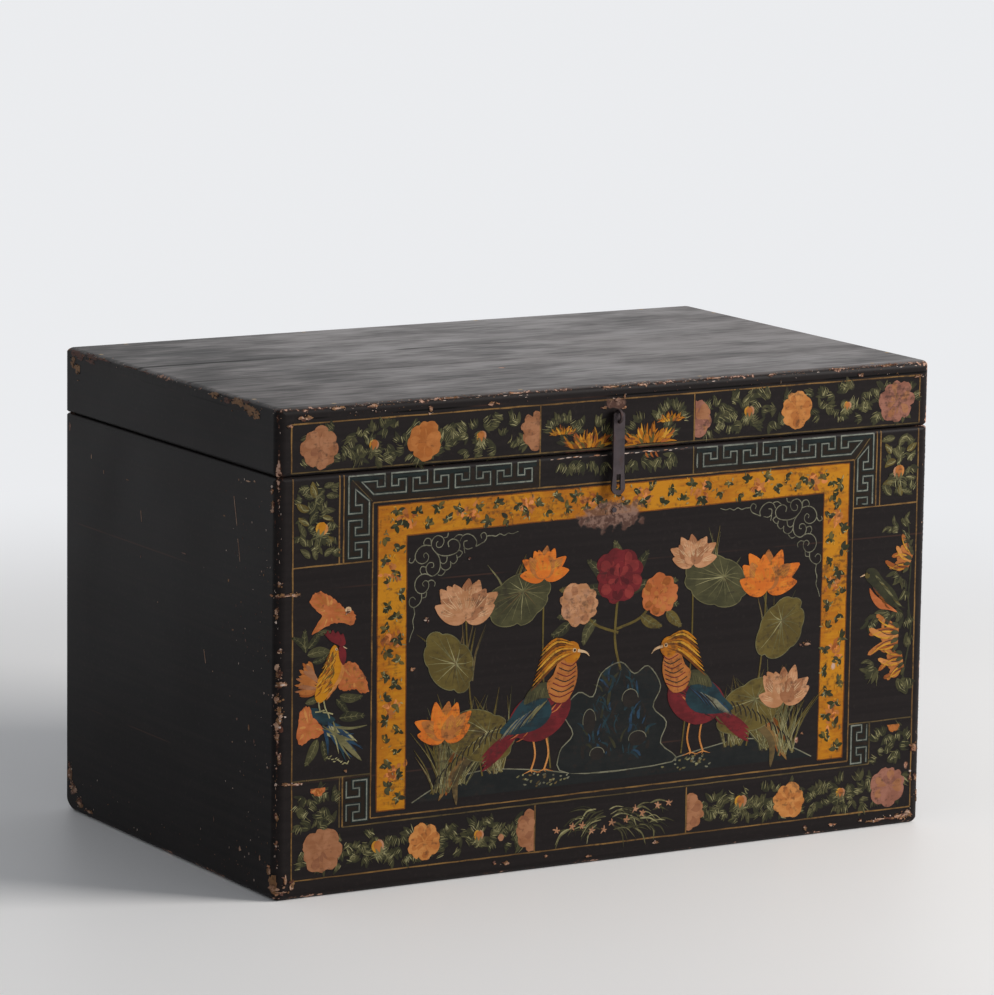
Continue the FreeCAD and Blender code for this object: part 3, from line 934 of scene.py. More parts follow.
def spider_flower(sheet, x, z, radius, level=3):
    """A chrysanthemum seen from the side: thin petals that fan up from a broad foot."""
    for ring, count in ((1.0, 18), (0.8, 16), (0.58, 13), (0.38, 10)):
        for k in range(count):
            share = (k + hand.uniform(0.25, 0.75)) / count * 2 - 1
            angle = UP - 1.35 * share + sway(0.12)
            foot = (x + share * radius * 0.55, z)
            length = radius * ring * hand.uniform(0.55, 0.8)
            tone = hand.choice(("ochre", "yellow", "ochre", "ochre_edge", "deep_orange", "olive"))
            path = bowed(*foot, angle, length, sway(0.35))
            sheet.stroke(path, radius * hand.uniform(0.08, 0.13), tone, level + (1.0 - ring) * 7)


GOLD_WIDTH = 1.5


def gold_lines():
    """Ruled lines that divide the front into panels."""
    hand.seed(SHEET_SEED)
    lid = Sheet("lid_gold_lines", "lid")
    for start, end in (
        ((-384, 494), (386, 496)), ((-384, 444), (-384, 494)), ((386, 444), (386, 496)),
        ((-384, 444), (386, 444)), ((-91, 444), (-91, 494)), ((98, 444), (98, 495)),
    ):
        ruled(lid, start, end, GOLD_WIDTH, "olive_gold" if start[1] == end[1] else "gold")
    base = Sheet("gold_lines", "base")
    for start, end in (
        ((-381, 20), (-382, 438)), ((387, 20), (386, 438)), ((-381, 20), (387, 19)),
        ((-328, 347), (-328, 438)), ((-323, 347), (-323, 438)),
        ((332, 357), (332, 438)), ((337, 357), (337, 438)),
        ((-381, 346), (-289, 347)), ((303, 356), (386, 357)),
        ((-289, 407), (303, 409)), ((-289, 77), (-289, 407)), ((303, 78), (303, 409)),
        ((-289, 77), (303, 78)), ((-322, 71), (331, 72)),
        ((-381, 124), (-289, 124)), ((303, 118.5), (387, 119)),
        ((-322, 71), (-322, 124)), ((-325.5, 71), (-325.5, 124)), ((331, 72), (331, 118.5)),
        ((-91, 408), (-91, 438)), ((98, 409), (98, 438)), ((-91, 20), (-91, 70)), ((97, 20), (97, 70)),
    ):
        ruled(base, start, end, GOLD_WIDTH, hand.choice(("gold", "gold", "olive_gold")))
    lid.finish()
    base.finish()


# The key border: the flat below the rounded seam, the line at its foot, one key, its line and its wash.
RIM_FLAT = BASE_TOP_Z / MM - SEAM_ROUND - 0.2
KEY_FOOT = 409
KEY_INSET = 3.5
KEY_PROUD = 1.4
KEY_PITCH = 50.0
KEY_HEIGHT = 20.5
KEY_LOW = KEY_HEIGHT * 0.36
KEY_HIGH = KEY_HEIGHT * 0.67
KEY_LINE = 1.5
KEY_WASH = 3.8
KEY_SQUEEZE = 0.92
KEY_END_RISE = 46
DIAGONALS = (4.0, 6.5)


def key_run(length):
    """The key pattern's line from its mitred corner on, and what of it lies within the length."""
    path = [(0, KEY_HEIGHT), (42, KEY_HEIGHT), (42, KEY_LOW), (33, KEY_LOW)]
    path += [(33, KEY_HIGH), (15, KEY_HIGH), (29, 0)]
    for k in range(5):
        u = k * KEY_PITCH
        path += [(u + 67, 0), (u + 67, KEY_HIGH), (u + 58, KEY_HIGH), (u + 58, KEY_LOW), (u + 50, KEY_LOW)]
        path += [(u + 50, KEY_HEIGHT), (u + 92, KEY_HEIGHT), (u + 92, KEY_LOW), (u + 83, KEY_LOW)]
        path += [(u + 83, KEY_HIGH), (u + 75, KEY_HIGH), (u + 75, 0)]
    lines = [[path[0]]]
    for (u0, v0), (u1, v1) in zip(path, path[1:]):
        if u0 > length >= u1:
            lines.append([(length, v0)])
        if min(u0, u1) <= length:
            lines[-1].append((min(u1, length), v1))
    return lines


KEY_END = [
    (25, KEY_HEIGHT), (42, KEY_HEIGHT), (42, KEY_LOW), (33, KEY_LOW), (33, KEY_HIGH), (25, KEY_HIGH),
    (25, 0), (67, 0), (67, KEY_HIGH), (58, KEY_HIGH), (58, KEY_LOW), (50, KEY_LOW),
    (50, KEY_HEIGHT), (67, KEY_HEIGHT),
]


def key_border():
    """Key pattern round the upper corners, and its two short ends below."""
    hand.seed(SHEET_SEED + 1)
    sheet = Sheet("key_border", "base")
    for side, inner, outer, middle, low, box_low, box_high in (
        (-1, -290, -321, -92, 348, 73, 122), (1, 304, 331, 99, 358, 74, 117),
    ):
        ground = [(outer, low), (inner, low), (inner, KEY_FOOT), (middle, KEY_FOOT)]
        ground += [(middle, RIM_FLAT), (outer, RIM_FLAT)]
        box = [(outer, box_low), (inner, box_low), (inner, box_high), (outer, box_high)]
        for outline in (ground, box):
            sheet.blob(uneven(outline), "key_field", 0)
        edge = outer - side * KEY_INSET
        crown = RIM_FLAT + KEY_PROUD
        deep = abs(outer - inner) - 2 * KEY_INSET
        lines = []
        for line in key_run(abs(middle - edge) - 3):
            lines.append([(edge - side * u, crown - KEY_HEIGHT + v) for u, v in line])
        upright = [(line, crown, KEY_SQUEEZE) for line in key_run((crown - low - 1.5) / KEY_SQUEEZE)]
        upright.append((KEY_END, (box_low + box_high) / 2 + KEY_END_RISE, 1.0))
        for line, top, squeeze in upright:
            lines.append([(edge - side * deep * (1 - v / KEY_HEIGHT), top - u * squeeze) for u, v in line])
        for line in lines:
            sheet.ribbon(line, [KEY_LINE * hand.uniform(0.75, 1.05) for _ in line], "key_grey", 3)
            wash = [(u, min(v, RIM_FLAT - KEY_WASH / 2)) for u, v in line]
            sheet.ribbon(wash, [KEY_WASH * hand.uniform(0.85, 1.1) for _ in line], "key_wash", 1)
        for gap in DIAGONALS:
            start = (inner + side * (gap - DIAGONALS[0]), KEY_FOOT + gap - DIAGONALS[0])
            sheet.stroke([start, (edge - side * gap, crown - gap)], 0.9, "olive_gold", 1, "line")
    sheet.finish()


# The ochre band: its outline, and the line and the pitch of its sprigs.
BAND_OUTLINE = [
    (-282, 83), (-248, 83), (-249, 370), (265, 376), (264, 83), (296, 83), (297, 406), (-283, 403),
]
BAND_MIDDLE = [(-265, 90), (-266, 387), (281, 391), (280, 90)]
SPRIG_PITCH = 12.0


def band_stations():
    """Places of the sprigs along the middle of the ochre band, and the way it runs there."""
    for start, end in zip(BAND_MIDDLE, BAND_MIDDLE[1:]):
        count = round(math.dist(start, end) / SPRIG_PITCH)
        along = unit(end[0] - start[0], end[1] - start[1])
        for i in range(count):
            yield part_way(start, end, (i + 0.5) / count), along


def ochre_band():
    """The ochre band round three sides of the picture, with sprigs and soft blossoms."""
    hand.seed(SHEET_SEED + 2)
    band = Sheet("ochre_band", "base")
    band.blob(uneven(BAND_OUTLINE), "ochre", 0)
    for start, end in zip(BAND_OUTLINE, BAND_OUTLINE[1:] + BAND_OUTLINE[:1]):
        ruled(band, start, end, 1.2, "ochre_edge", 1)
    sprigs = Sheet("band_sprigs", "base")
    for k, ((x, z), along) in enumerate(band_stations()):
        across = (-along[1], along[0])
        shift = (1 if k % 2 else -1) * hand.uniform(3.5, 10.0)
        spot = shifted((x, z), across, shift)
        if k % 6 == 2:
            soft_blossom(sprigs, x, z)
        lean = hand.uniform(0.0, ANY_WAY)
        for j in range(hand.choice((3, 4, 5))):
            angle = lean + j * 1.0 + sway(0.35)
            length = hand.uniform(5.5, 9.5)
            start = (spot[0] + sway(1), spot[1] + sway(1))
            tone = hand.choice(("sprig_green", "sprig_green", "leaf_dark", "leaf_green", "olive"))
            path = bowed(*start, angle, length, sway(0.3))
            sprigs.stroke(path, length * hand.uniform(0.46, 0.66), tone, 4, "leaf", 3)
        for j in range(4):
            start = (spot[0] + sway(6), spot[1] + sway(6))
            tone = hand.choice(("leaf_tip", "yellow", "leaf_light"))
            sprigs.stroke(bowed(*start, lean + j, hand.uniform(3, 5), 0.2), 1.2, tone, 6, "wisp", 2)
    band.finish()
    sprigs.finish()


def soft_blossom(sheet, x, z):
    """A blossom brushed wet into the ochre, hardly lighter than it."""
    for k in range(18):
        start = (x + hand.gauss(0, 5.0), z + hand.gauss(0, 4.5))
        tone = hand.choice(("blush", "deep_orange", "orange", "orange_light"))
        path = bowed(*start, hand.uniform(0.0, ANY_WAY), hand.uniform(5, 9), 0.5)
        sheet.stroke(path, hand.uniform(2.4, 4.6), tone, 1 + k % 2, "leaf", 3)


PEACH = ("peach", "peach_light", "peach_shade")
ORANGE = ("orange", "orange_light", "orange_shade")
TERRA = ("terracotta", "peach", "terra_shade")
YELLOW = ("light_orange", "orange_light", "orange")
BUD = ("yellow", "pale_peach", "orange")
LEFT_HALF = (UP, 1.5 * math.pi)
RIGHT_HALF = (-UP, UP)


def flower_row(sheet, flowers, buds, left_half, right_half, beds):
    """A border of blossoms, buds and leaves in one row."""
    for bed in beds:
        leaf_bed(sheet, *bed)
    for x, z, radius, tones in flowers:
        rosette(sheet, x, z, radius, tones)
    for x, z, radius in buds:
        bud(sheet, x, z, radius, BUD)
    for (x, z, radius, tones), arc in ((left_half, LEFT_HALF), (right_half, RIGHT_HALF)):
        rosette(sheet, x, z, radius, tones, arc, lobes=10, marks=9)


def lid_flower_border():
    """Blossoms, buds and leaves along the lid's front, either side of the hasp."""
    hand.seed(SHEET_SEED + 3)
    sheet = Sheet("lid_flower_border", "lid")
    beds = ((-374, -104, 450, 486), (110, 378, 452, 488))
    flower_row(
        sheet,
        [(-351, 468, 23, PEACH), (-229, 467, 21, ORANGE),
         (228, 469, 20.5, YELLOW), (356, 469, 23.5, TERRA)],
        [(-289, 466, 6.5), (-162, 466, 6.5), (167, 470, 7), (292, 468, 5.5)],
        (-92, 468, 23, PEACH), (99, 468, 22, TERRA), beds,
    )
    sheet.finish()


def lid_chrysanthemums():
    """Chrysanthemums either side of the hasp, whose leaves run on below the seam."""
    hand.seed(SHEET_SEED + 4)
    lid = Sheet("lid_chrysanthemums", "lid")
    for x, z, radius in ((-33, 446, 29), (42, 446, 30), (-64, 462, 15), (69, 467, 15)):
        for side in (-1, 1):
            for k in range(3):
                spot = (x + side * radius * (0.35 + 0.25 * k), z + radius * (0.75 - 0.25 * k))
                clump(lid, *spot, UP - side * (0.3 + 0.4 * k), 12.0)
        spider_flower(lid, x, z, radius)
    base = Sheet("chrysanthemum_leaves", "base")
    down = -1.57
    for x in (-62, -54, -46, -38, -30, -22, -14, 18, 26, 34, 42, 50, 58, 66, 74):
        clump(base, x, 431 + hand.uniform(-5, 2), down + sway(0.9), 12.0)
    for x in (38, 44, 50):
        base.stroke(bowed(x, 436, -1.2, 7, 0.2), 2.4, "deep_orange", 4)
    lid.finish()
    base.finish()


def lower_flower_border():
    """The same along the foot of the front, with leaves and half a blossom above each end."""
    hand.seed(SHEET_SEED + 5)
    sheet = Sheet("lower_flower_border", "base")
    beds = ((-372, -104, 30, 58), (108, 378, 28, 56))
    flower_row(
        sheet,
        [(-345, 49, 24, PEACH), (-224, 45, 20.5, YELLOW),
         (228, 42, 20.5, YELLOW), (357, 45, 23, TERRA)],
        [(-279, 45, 8), (-159, 44, 6.5), (166, 46, 8), (295, 43, 6.5)],
        (-92, 44, 24, PEACH), (98, 44, 22, PEACH), beds,
    )
    sheet.blob(lobed(-132, 40, 4.0, 4, 0.2, count=20), "pale_peach", 4)
    leaf_bed(sheet, -374, -330, 72, 112)
    leaf_bed(sheet, 340, 380, 70, 110)
    for x, z, tones in ((-351, 115, ("salmon", "deep_orange", "light_orange")), (363, 113, ORANGE)):
        rosette(sheet, x, z, 8.5, tones, (math.pi, 2 * math.pi))
    sheet.finish()


def corner_leaves():
    """Leafy twigs with a bud at the two upper corners below the seam."""
    hand.seed(SHEET_SEED + 6)
    sheet = Sheet("corner_leaves", "base")
    top = 432
    for left, right, low, heart, tones in (
        (-376, -334, 352, (-349, 384), ("yellow", "light_orange", "ochre")),
        (342, 382, 362, (361, 391), ("pale_peach", "light_orange", "orange")),
    ):
        leaf_bed(sheet, left, right, low + 4, top, 12.0, 10.0)
        for z in range(low + 10, top, 11):
            for share in (0.15, 0.5, 0.85):
                x = left + (right - left) * (share + sway(0.1))
                angle = UP + (0.5 - share) * 3.4 + sway(0.8)
                length = hand.uniform(13, 18)
                start = ray(x, z + sway(3), angle, -length / 2)
                if min(math.dist(spot, heart) for spot in (start, (x, z))) > 9:
                    edged_leaf(sheet, *start, angle, length)
        bud(sheet, *heart, 8.0, tones, 6)
    sheet.finish()


def reed_panel():
    """Bent reeds with small pink flowers below the picture."""
    hand.seed(SHEET_SEED + 7)
    sheet = Sheet("reed_panel", "base")
    middle = 44
    for k in range(74):
        x = hand.uniform(-70, 78)
        z = middle + hand.uniform(-13, 15)
        heads_left = x < 0
        angle = (math.pi if heads_left else 0.0) + sway(0.55)
        length = hand.uniform(16, 34) * (1.0 - 0.3 * abs(x) / 90)
        bow = hand.uniform(0.2, 0.7) * (1 if heads_left else -1)
        tone = hand.choice(("leaf_dark", "leaf_green", "leaf_light", "leaf_tip", "leaf_green"))
        path = bowed(x * 0.75, z, angle, length, bow)
        sheet.stroke(path, hand.uniform(0.9, 2.2), tone, 1 + k % 3, "wisp")
    for k in range(11):
        x = -62 + k * 13.5 + sway(4)
        z = middle + hand.uniform(-14, 15)
        for j in range(5):
            angle = j * FIFTH_TURN + sway(0.2)
            sheet.stroke(bowed(x, z, angle, hand.uniform(3.5, 5.5), 0.2), 1.7, "pale_peach", 5)
    sheet.finish()


# Lines of the cloud at the upper right, each from its outer end to its curl.
CLOUD_LINES = (
    ((184, 357), (183, 362), (187, 368), (194, 371), (200, 369), (203, 364)),
    ((194, 364), (198, 363), (198, 358), (194, 355), (188, 356)), ((198, 357), (197, 351)),
    ((200, 370), (205, 371), (210, 368)),
    ((216, 359), (217, 364), (212, 367), (206, 365), (203, 360), (205, 354), (211, 351), (220, 350),
     (228, 352), (234, 357), (237, 363), (235, 369), (230, 372), (224, 370), (222, 365), (225, 360),
     (230, 360), (231, 364), (229, 366)),
    ((217, 374), (218, 370), (222, 369)), ((237, 364), (238, 369), (243, 370), (246, 366), (245, 362)),
    ((237, 362), (245, 363), (252, 360), (256, 353), (254, 347), (248, 344), (242, 346), (240, 351),
     (243, 355), (246, 353), (245, 350)),
    ((256, 350), (259, 346), (263, 347), (262, 351)),
    ((233, 356), (228, 350), (226, 342), (228, 334), (235, 330), (241, 333), (243, 339), (240, 344),
     (235, 344), (234, 340), (237, 339)),
    ((204, 355), (200, 352), (203, 348), (207, 347)), ((207, 350), (206, 345), (210, 341), (214, 343)),
    ((214, 344), (214, 338), (219, 335), (224, 337), (226, 341)),
    ((218, 349), (219, 344), (223, 342), (227, 345)),
    ((220, 334), (224, 330), (229, 331)), ((243, 340), (248, 341), (250, 337), (248, 333)),
    ((236, 330), (243, 333), (250, 332), (255, 327), (256, 320), (252, 314), (245, 313), (240, 318),
     (240, 324), (244, 326), (247, 323), (245, 320)),
    ((240, 325), (236, 326), (232, 323), (233, 319)), ((242, 314), (243, 309), (247, 308)),
    ((248, 313), (248, 307), (251, 302), (257, 299), (262, 302), (262, 308), (258, 310), (255, 307)),
    ((257, 299), (256, 292), (258, 285), (257, 277), (260, 270), (262, 263)),
    ((184, 357), (179, 359), (173, 362), (171, 367), (174, 371), (178, 369), (177, 365)),
    ((171, 367), (165, 367), (160, 366), (155, 368), (150, 366), (145, 368), (140, 367), (133, 369)),
)


def cloud_scrolls():
    """Curled clouds in the picture's upper corners, the left one the other way round."""
    sheet = Sheet("cloud_scrolls", "base")
    for flip, shift, rise in ((1, 0.0, 0.0), (-1, 17.0, -5.0)):
        for line in CLOUD_LINES:
            path = smooth_path([(flip * u + shift, v + rise) for u, v in line], 4)
            last = len(path) - 1
            widths = [1.15 * (1.0 - 0.35 * i / last) for i in range(last + 1)]
            sheet.ribbon(path, widths, "scroll_grey", 1)
    sheet.finish()


# Birds and pictures
def fill(sheet, points, tone, level):
    """One spot of paint inside a smooth line through the points."""
    sheet.blob(closed_path(points, 3), tone, level)


def strokes(sheet, lines, width, tone, level):
    """Even lines of one width and tone."""
    for line in lines:
        sheet.stroke(line, width, tone, level, "line")


def broad_leaf(sheet, x, z, angle, length, width, level=1, tones=("leaf_dark", "leaf_green")):
    """A wide leaf with a light midrib and side veins."""
    bow = sway(0.3)
    path = bowed(x, z, angle, length, bow)
    sheet.stroke(path, width, hand.choice(tones), level, "leaf", 5)
    sheet.stroke(path, width * 0.09, "leaf_light", level + 2, "blade")
    for k in range(1, 5):
        spot = smooth_path(path, 5)[2 * k]
        for side in (-1, 1):
            lean = angle + bow * k / 5 + side * 0.75
            rib = [spot, ray(*spot, lean, width * 0.34)]
            sheet.stroke(rib, width * 0.05, "leaf_light", level + 2, "line")


def frilled(points, size):
    """A closed outline whose edge runs in small frills."""
    path = closed_path(points, 5)
    heart = heart_of(points)
    outline = []
    for u, v in path:
        away = unit(u - heart[0], v - heart[1]) or (0.0, 1.0)
        push = size * sway(0.9)
        outline.append(shifted((u, v), away, push))
    return outline


def peony(sheet, points, tones, level=3):
    """A ragged blossom of one outline, brushed with petal edges towards its heart."""
    body, light, dark = tones
    sheet.blob(frilled(points, 1.1), body, level)
    heart = heart_of(points)
    for k, rim in enumerate(points * 2):
        shares = hand.uniform(0.2, 0.5), hand.uniform(0.5, 0.7), hand.uniform(0.8, 0.95)
        path = [part_way(heart, rim, share) for share in shares]
        sheet.stroke(path, hand.uniform(1.2, 3.2), light if k % 4 == 0 else dark, level + 1, "leaf")


SALMON = ("salmon", "light_orange", "orange")


def rooster_panel():
    """A cockerel on a rock among peonies, in the left panel."""
    hand.seed(SHEET_SEED + 9)
    sheet = Sheet("rooster_panel", "base")
    for x, z, angle, length in (
        (-366, 262, 2.25, 21), (-366, 258, 1.75, 24), (-363, 262, 0.75, 24), (-364, 255, 0.25, 30),
        (-358, 247, 0.1, 20), (-352, 275, 0.35, 16), (-326, 209, -0.35, 27), (-330, 206, -0.8, 22),
        (-352, 166, -1.95, 30), (-346, 164, -1.3, 22), (-366, 205, 0.2, 20), (-326, 186, 0.05, 30),
    ):
        broad_leaf(sheet, x, z, angle, length, length * 0.36)
    peony(sheet, [
        (-362, 311), (-357, 318), (-350, 320), (-343, 317), (-336, 313), (-329, 307), (-322, 300),
        (-314, 298), (-308, 290), (-313, 282), (-323, 285), (-335, 285), (-346, 281), (-359, 276),
        (-353, 287), (-348, 295), (-356, 302),
    ], SALMON)
    peony(sheet, [
        (-324, 240), (-317, 244), (-309, 242), (-302, 235), (-296, 226), (-293, 216), (-293, 210),
        (-301, 210), (-309, 215), (-318, 214), (-327, 217), (-328, 229),
    ], SALMON)
    peony(sheet, [
        (-368, 201), (-361, 200), (-357, 190), (-349, 181), (-342, 174), (-350, 169), (-360, 167),
        (-368, 162), (-375, 165), (-375, 180), (-373, 193),
    ], SALMON)
    rock = [(-361, 199), (-350, 198), (-341, 192), (-331, 185), (-340, 180), (-351, 184), (-360, 191)]
    fill(sheet, rock, "teal", 3)
    for k in range(22):
        tone = hand.choice(("blue", "teal", "teal", "blue", "leaf_light", "leaf_tip"))
        start = (-345 + hand.uniform(-3, 14), 181 + hand.uniform(-8, 3))
        angle = -0.85 + hand.uniform(-0.45, 0.65)
        path = bowed(*start, angle, hand.uniform(22, 50), hand.uniform(-0.2, 0.25))
        sheet.stroke(path, hand.uniform(2.0, 4.2), tone, 3 + k % 3, "wisp")
    sheet.stroke([(-346, 180), (-330, 169), (-316, 155), (-300, 139)], 6.0, "leaf_light", 6, "petal")
    for k in range(13):
        fleck = (-342 + 2.1 * k, 146 - 0.8 * k + sway(2))
        sheet.stroke(bowed(*fleck, sway(0.8), 3.4, 0.2), 1.2, "leaf_tip", 6)
    sheet.blob(lobed(-317, 298, 3.6, 3, 0.12, count=18), "cream", 6)
    cockerel(sheet)
    sheet.finish()


def cockerel(sheet):
    """The cockerel itself: plumed tail, hackled neck, comb and wattle."""
    for k in range(26):
        share = k / 25
        start = (-350 - hand.uniform(0, 4), 228 - 12 * share)
        tip = ray(-352, 226, 1.95 + 1.75 * share + sway(0.05), hand.uniform(21, 28))
        bend = ((start[0] + tip[0]) / 2 - 2 + 4 * share, (start[1] + tip[1]) / 2 + 3 - 4 * share)
        tone = hand.choice(("orange", "orange", "deep_orange", "peach", "light_orange"))
        sheet.stroke([start, bend, tip], hand.uniform(3.0, 5.4), tone, 4 + k % 4, "petal", 4)
    fill(sheet, [
        (-333, 263), (-329, 259), (-327, 251), (-323, 242), (-322, 234), (-326, 226), (-333, 218),
        (-341, 209), (-349, 204), (-355, 209), (-354, 219), (-352, 228), (-348, 235), (-342, 239),
        (-339, 247), (-338, 257),
    ], "ochre", 7)
    breast = [(-325, 246), (-323, 238), (-326, 228), (-333, 219), (-342, 210)]
    sheet.stroke(breast, 4.5, "light_orange", 9)
    comb = [(-346, 277), (-343, 275), (-341, 279), (-338, 275), (-335, 279), (-332, 275), (-329, 277),
            (-326, 273), (-323, 274), (-321, 269), (-320, 263), (-325, 261), (-331, 264), (-338, 268)]
    fill(sheet, comb, "crimson", 8)
    wattle = [(-327, 261), (-321, 259), (-319, 250), (-322, 241), (-326, 246), (-328, 254)]
    fill(sheet, wattle, "crimson", 9)
    for k in range(120):
        t = hand.random()
        start = (-333.5 - 10 * t + sway(1.0) * (4.0 + 5.0 * t), 258 - 42 * t)
        tone = hand.choice(("deep_orange", "ochre_edge", "olive", "ochre_edge", "yellow"))
        path = bowed(*start, -1.85 - 0.45 * t + sway(0.2), hand.uniform(5, 10), -0.2)
        sheet.stroke(path, hand.uniform(0.7, 1.3), tone, 8 + k % 2, "wisp", 2)
    for k in range(9):
        start = (-350 + 2.6 * k, 208 + 1.8 * k + sway(2))
        sheet.stroke(bowed(*start, -1.8, hand.uniform(6, 11), -0.3), 2.0, "orange", 6, "wisp", 2)
    strokes(sheet, [[(-345, 206), (-343, 198), (-340, 192)], [(-351, 205), (-350, 199), (-349, 195)],
                    [(-340, 193), (-334, 191)], [(-340, 193), (-338, 187)], [(-340, 193), (-346, 194)],
                    [(-349, 195), (-344, 196)], [(-349, 195), (-355, 195)]], 1.4, "leaf_tip", 9)
    sheet.stroke([(-323, 260), (-318, 258)], 2.0, "cream", 9, "blade")
    sheet.blob(round_spot(-330.5, 258.5, 1.5), "cream", 9)
    sheet.blob(round_spot(-330.3, 258.5, 0.8), "ink", 10)


def claw_flower(sheet, x, z, angle, reach, petals, level=3):
    """A chrysanthemum of a few thick petals that reach out of a full heart like fingers."""
    for side in (-0.16, 0.0, 0.16):
        foot = ray(x, z, angle + QUARTER_TURN, side * reach)
        heart = bowed(*foot, angle + side, reach * 0.55, side)
        sheet.stroke(heart, reach * 0.34, "orange", level - 1, "petal", 6)
    for k in range(petals):
        share = (k + 0.5) / petals - 0.5
        foot = ray(x, z, angle + QUARTER_TURN, share * reach * 0.5)
        lean = angle + 0.85 * share + sway(0.08)
        length = reach * hand.uniform(0.72, 1.0) * (1.0 - 0.5 * share * share)
        bow = (0.5 if k % 2 else -0.35) * hand.uniform(0.4, 1.0)
        tone = ("orange", "deep_orange", "light_orange")[k % 3]
        sheet.stroke(bowed(*foot, lean, length, bow), reach * 0.15, tone, level + k % 3, "finger", 6)
        gleam = bowed(*ray(*foot, lean + 0.15, length * 0.2), lean + 0.05, length * 0.7, bow)
        sheet.stroke(gleam, reach * 0.05, "yellow", level + 4, "wisp")
        shade = bowed(*ray(*foot, lean - 0.3, length * 0.1), lean - 0.05, length * 0.6, bow)
        sheet.stroke(shade, reach * 0.03, "rust", level + 4, "wisp")
    for k in range(4):
        foot = ray(x, z, angle + QUARTER_TURN, (k - 1.5) * reach * 0.14)
        cup = bowed(*foot, angle + (k - 1.5) * 0.5, reach * 0.25, 0.2)
        sheet.stroke(cup, reach * 0.12, "leaf_green", level + 5)


def bird_panel():
    """A small bird among chrysanthemums, in the right panel."""
    hand.seed(SHEET_SEED + 10)
    sheet = Sheet("bird_panel", "base")
    stem = [(374, 345), (377, 320), (380, 285), (378, 250), (382, 215), (376, 180), (370, 150)]
    sheet.stroke(stem, 2.0, "leaf_dark", 1, "line")
    for x, z, angle, length in (
        (372, 334, 1.5, 14), (360, 332, 2.2, 13), (352, 332, 3.3, 12), (374, 318, 1.9, 12),
        (376, 306, 1.2, 12), (362, 282, 3.4, 15), (368, 276, 3.9, 14), (374, 262, 4.3, 15),
        (366, 240, 3.7, 16), (372, 232, 4.2, 15), (352, 238, 3.0, 18), (336, 236, 3.3, 15),
        (326, 232, 4.3, 14), (378, 214, 4.4, 14), (376, 200, 1.0, 12), (332, 184, 2.7, 14),
        (338, 178, 3.5, 22), (366, 164, -1.3, 22), (374, 166, -1.7, 18), (380, 226, 1.5, 13),
    ):
        leaf(sheet, x, z, angle, length, 1, ("leaf_dark", "leaf_green"))
        clump(sheet, x + 3, z - 3, angle + 0.5, length * 0.75, 2)
    for x, z, angle, reach in ((380, 292, 2.75, 36), (366, 211, 3.10, 43), (373, 183, 3.35, 37)):
        claw_flower(sheet, x, z, angle, reach, 5)
    back = [(322, 287), (329, 289), (336, 286), (343, 277), (353, 268), (361, 259), (366, 247),
            (360, 243), (348, 250), (336, 260), (329, 270), (322, 277)]
    fill(sheet, back, "leaf_dark", 4)
    belly = [(327, 267), (334, 259), (345, 251), (356, 244), (364, 237), (352, 241), (341, 243),
             (333, 250), (328, 259)]
    fill(sheet, belly, "salmon", 5)
    for k in range(12):
        start = (334 + 2.4 * k, 280 - 2.7 * k)
        tone = hand.choice(("leaf_green", "leaf_light", "olive"))
        sheet.stroke(bowed(*start, -0.75, hand.uniform(9, 14), 0.1), 2.2, tone, 6, "wisp")
    for k in range(9):
        start = (331 + 2.0 * k, 268 - 2.4 * k + sway(1))
        feather = bowed(*start, -0.9, hand.uniform(7, 10), 0.2)
        sheet.stroke(feather, 1.8, hand.choice(("rust", "ochre_edge")), 7, "wisp")
    for tail in ([(360, 245), (372, 236)], [(358, 247), (374, 241)]):
        sheet.stroke(tail, 3.0, "leaf_dark", 6, "blade")
    sheet.blob(lobed(323.5, 281, 3.2, 3, 0.1, count=20), "olive", 6)
    sheet.stroke([(320, 282), (314, 280)], 2.0, "cream", 7, "blade")
    sheet.blob(round_spot(325, 283.5, 1.1), "ink", 8)
    sheet.finish()


def lotus(sheet, x, z, radius, tones, level=7):
    """A lotus seen from the side, with pointed petals in three rows."""
    body, second, line = tones
    for row, (count, fan, reach) in enumerate(((5, 2.2, 1.0), (6, 3.1, 0.86), (3, 1.3, 0.66))):
        for k in range(count):
            angle = UP + fan * ((k + 0.5) / count - 0.5) + sway(0.06)
            bow = sway(0.15)
            length = radius * reach * hand.uniform(0.92, 1.06)
            tone = second if (k + row) % 3 == 2 else body
            sheet.stroke(bowed(x, z, angle, length, bow), radius * 0.44, tone, level + row, "leaf", 5)
            for side in (-0.14, 0.0, 0.14):
                vein = bowed(*ray(x, z, angle + side * 0.6, length * 0.4), angle + side, length * 0.42, bow)
                sheet.stroke(vein, 0.55, line, level + row + 1, "wisp", 2)


def lotus_leaf(sheet, x, z, radius, squash, tilt, level=1):
    """A broad lotus leaf with forked veins from its heart and a pale rim."""
    rim = [turned(u, v * squash, tilt) for u, v in lobed(0, 0, radius, 7, 0.11)]
    heart = turned(radius * 0.18, radius * squash * 0.22, tilt)
    rim = [(x + u, z + v) for u, v in rim]
    heart = (x + heart[0], z + heart[1])
    sheet.blob(rim, hand.choice(("olive", "olive", "leaf_green")), level)
    for k in range(0, len(rim), 3):
        reach = hand.uniform(0.82, 0.97)
        end = part_way(heart, rim[k], reach)
        bend = tuple((a + b) / 2 + sway(1.5) for a, b in zip(heart, end))
        tone = hand.choice(("leaf_light", "leaf_light", "leaf_tip", "olive_gold"))
        sheet.stroke([heart, bend, end], 1.0, tone, level + 1, "blade", 3)
    sheet.ribbon(rim + rim[:1], [0.8] * (len(rim) + 1), "leaf_light", level + 1)


